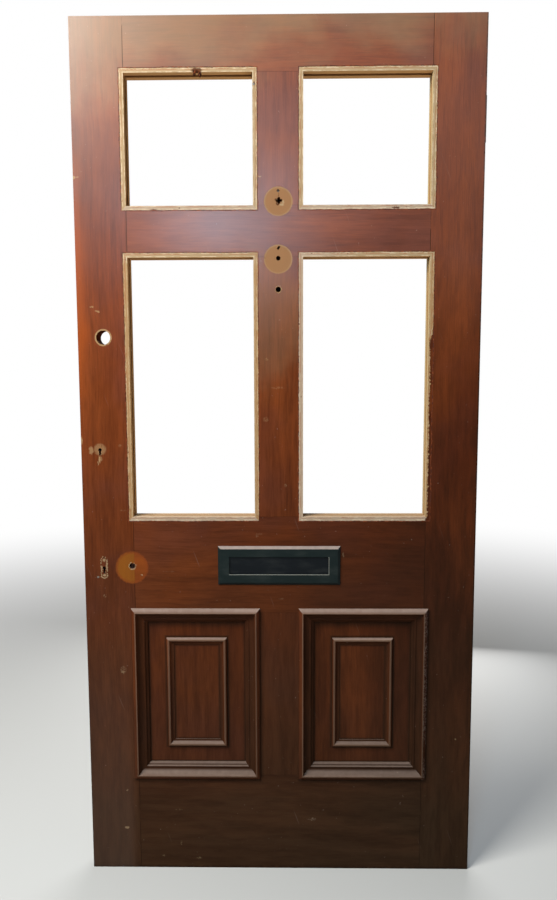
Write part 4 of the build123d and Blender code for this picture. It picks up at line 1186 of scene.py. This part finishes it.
class DOOR_OT_mouldings(Operator):
    """Varnish the mitred mouldings round and on the panels"""

    bl_idname = "door.mouldings"
    bl_label = "Mouldings"

    def execute(self, context):
        arris = context.scene.door_wood.moulding_arris
        for kind in MOULDING_KINDS:
            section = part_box(f"left_{kind}_top") if kind != "back_moulding" else None
            upright = varnished_wood(f"upright_{kind}_varnish", False, (7.7, 2.2, 0.1), moulding=section)
            level = varnished_wood(f"level_{kind}_varnish", True, (9.3, 4.1, 0.6), moulding=section)
            for side in ("left", "right"):
                dress([f"{side}_{kind}_{end}" for end in ("left", "right")], upright, arris)
                dress([f"{side}_{kind}_{end}" for end in ("bottom", "top")], level, arris)
        return {"FINISHED"}


class DOOR_OT_letter_plate(Operator):
    """Paint the letter plate and its flap, and tarnish their fixings"""

    bl_idname = "door.letter_plate"
    bl_label = "Letter plate"

    def execute(self, context):
        metal = context.scene.door_metal
        arris = metal.plate_arris
        dress(("letter_plate",), painted_iron("plate_paint", metal.plate_paint, worn=True), arris)
        # The flap's darker paint is partly painted shade in the recess.
        dress(("letter_flap",), painted_iron("flap_paint", metal.flap_paint), arris)
        dress(LETTER_PLATE_FIXINGS, tarnished_steel("fixing_steel"))
        return {"FINISHED"}


class DOOR_OT_hinge(Operator):
    """Rust the hinge's leaves and tarnish its pin and screws"""

    bl_idname = "door.hinge"
    bl_label = "Hinge"

    def execute(self, context):
        metal = context.scene.door_metal
        iron = rusted_iron("hinge_iron", metal.hinge_iron)
        dress(("hinge_door_leaf", "hinge_jamb_leaf"), iron, metal.hinge_arris)
        dress(("hinge_pin", "hinge_screws"), tarnished_steel("screw_steel"))
        return {"FINISHED"}


class DOOR_OT_old_nails(Operator):
    """Rust the two nails left in the wood"""

    bl_idname = "door.old_nails"
    bl_label = "Old nails"

    def execute(self, context):
        metal = context.scene.door_metal
        dress(("leftover_nails",), rusted_iron("nail_rust", metal.steel), metal.nail_arris)
        return {"FINISHED"}


class DOOR_OT_torn_varnish(Operator):
    """Lay the ragged edge of the varnish round each light"""

    bl_idname = "door.torn_varnish"
    bl_label = "Torn varnish edges"

    def execute(self, context):
        wood = context.scene.door_wood
        material = torn_varnish("torn_varnish")
        for seed, (name, *ends) in enumerate(light_rectangles()):
            def build(shape):
                add_film(shape, *ends, wood.band_width, wood.film, seed)
            add_piece(f"varnish_edge_{name}", build, material)
        return {"FINISHED"}


class DOOR_OT_splinters(Operator):
    """Add the splinters at the drilled and chopped holes and the torn knot over the left square light"""

    bl_idname = "door.splinters"
    bl_label = "Splinters and torn knot"

    def execute(self, context):
        pale = bare_splinter("bare_splinters")
        draw = random.Random(7)
        for name, splinters in (
            ("viewer_hole_splinters", muntin_hole_splinters),
            ("cross_hole_splinters", cross_hole_splinters),
            ("keyhole_splinters", keyhole_splinters),
        ):
            add_piece(name, lambda shape: splinters(shape, draw), pale)
        add_piece("torn_knot", torn_knot, dark_knot("knot_wood"))
        return {"FINISHED"}


class DOOR_OT_stage(Operator):
    """Set up the floor, the soft lamps, the white background and the camera"""

    bl_idname = "door.stage"
    bl_label = "Stage"

    def execute(self, context):
        stage = context.scene.door_stage
        add_floor(stage)
        for name, lamp in LAMPS.items():
            add_lamp(f"{name}_lamp", getattr(stage, f"{name}_power"), *lamp)
        add_sky(stage)
        add_camera(stage)
        context.scene.view_settings.view_transform = "Standard"
        return {"FINISHED"}


STEPS = (
    DOOR_OT_shared_effects,
    DOOR_OT_frame_of_leaf,
    DOOR_OT_panels,
    DOOR_OT_mouldings,
    DOOR_OT_letter_plate,
    DOOR_OT_hinge,
    DOOR_OT_old_nails,
    DOOR_OT_torn_varnish,
    DOOR_OT_splinters,
    DOOR_OT_stage,
)
SETTINGS = {"door_wood": DoorWoodSettings, "door_metal": DoorMetalSettings, "door_stage": DoorStageSettings}


class DOOR_PT_panel(Panel):
    """Lists the steps that dress the door, and its sizes and colours"""

    bl_label = "Door leaf"
    bl_idname = "DOOR_PT_panel"
    bl_space_type = "VIEW_3D"
    bl_region_type = "UI"
    bl_category = "Door"

    def draw(self, context):
        for step in STEPS:
            self.layout.operator(step.bl_idname)
        for name, settings in SETTINGS.items():
            for value in settings.__annotations__:
                self.layout.prop(getattr(context.scene, name), value)


def register():
    for made in (*SETTINGS.values(), *STEPS, DOOR_PT_panel):
        bpy.utils.register_class(made)
    for name, settings in SETTINGS.items():
        setattr(bpy.types.Scene, name, PointerProperty(type=settings))


def unregister():
    for name in SETTINGS:
        delattr(bpy.types.Scene, name)
    for made in reversed((*SETTINGS.values(), *STEPS, DOOR_PT_panel)):
        bpy.utils.unregister_class(made)


def main():
    for leftover in ("Cube", "Light", "Camera"):
        if leftover in bpy.data.objects:
            bpy.data.objects.remove(bpy.data.objects[leftover])
    register()
    for step in STEPS:
        family, name = step.bl_idname.split(".")
        getattr(getattr(bpy.ops, family), name)()


if __name__ == "__main__":
    main()
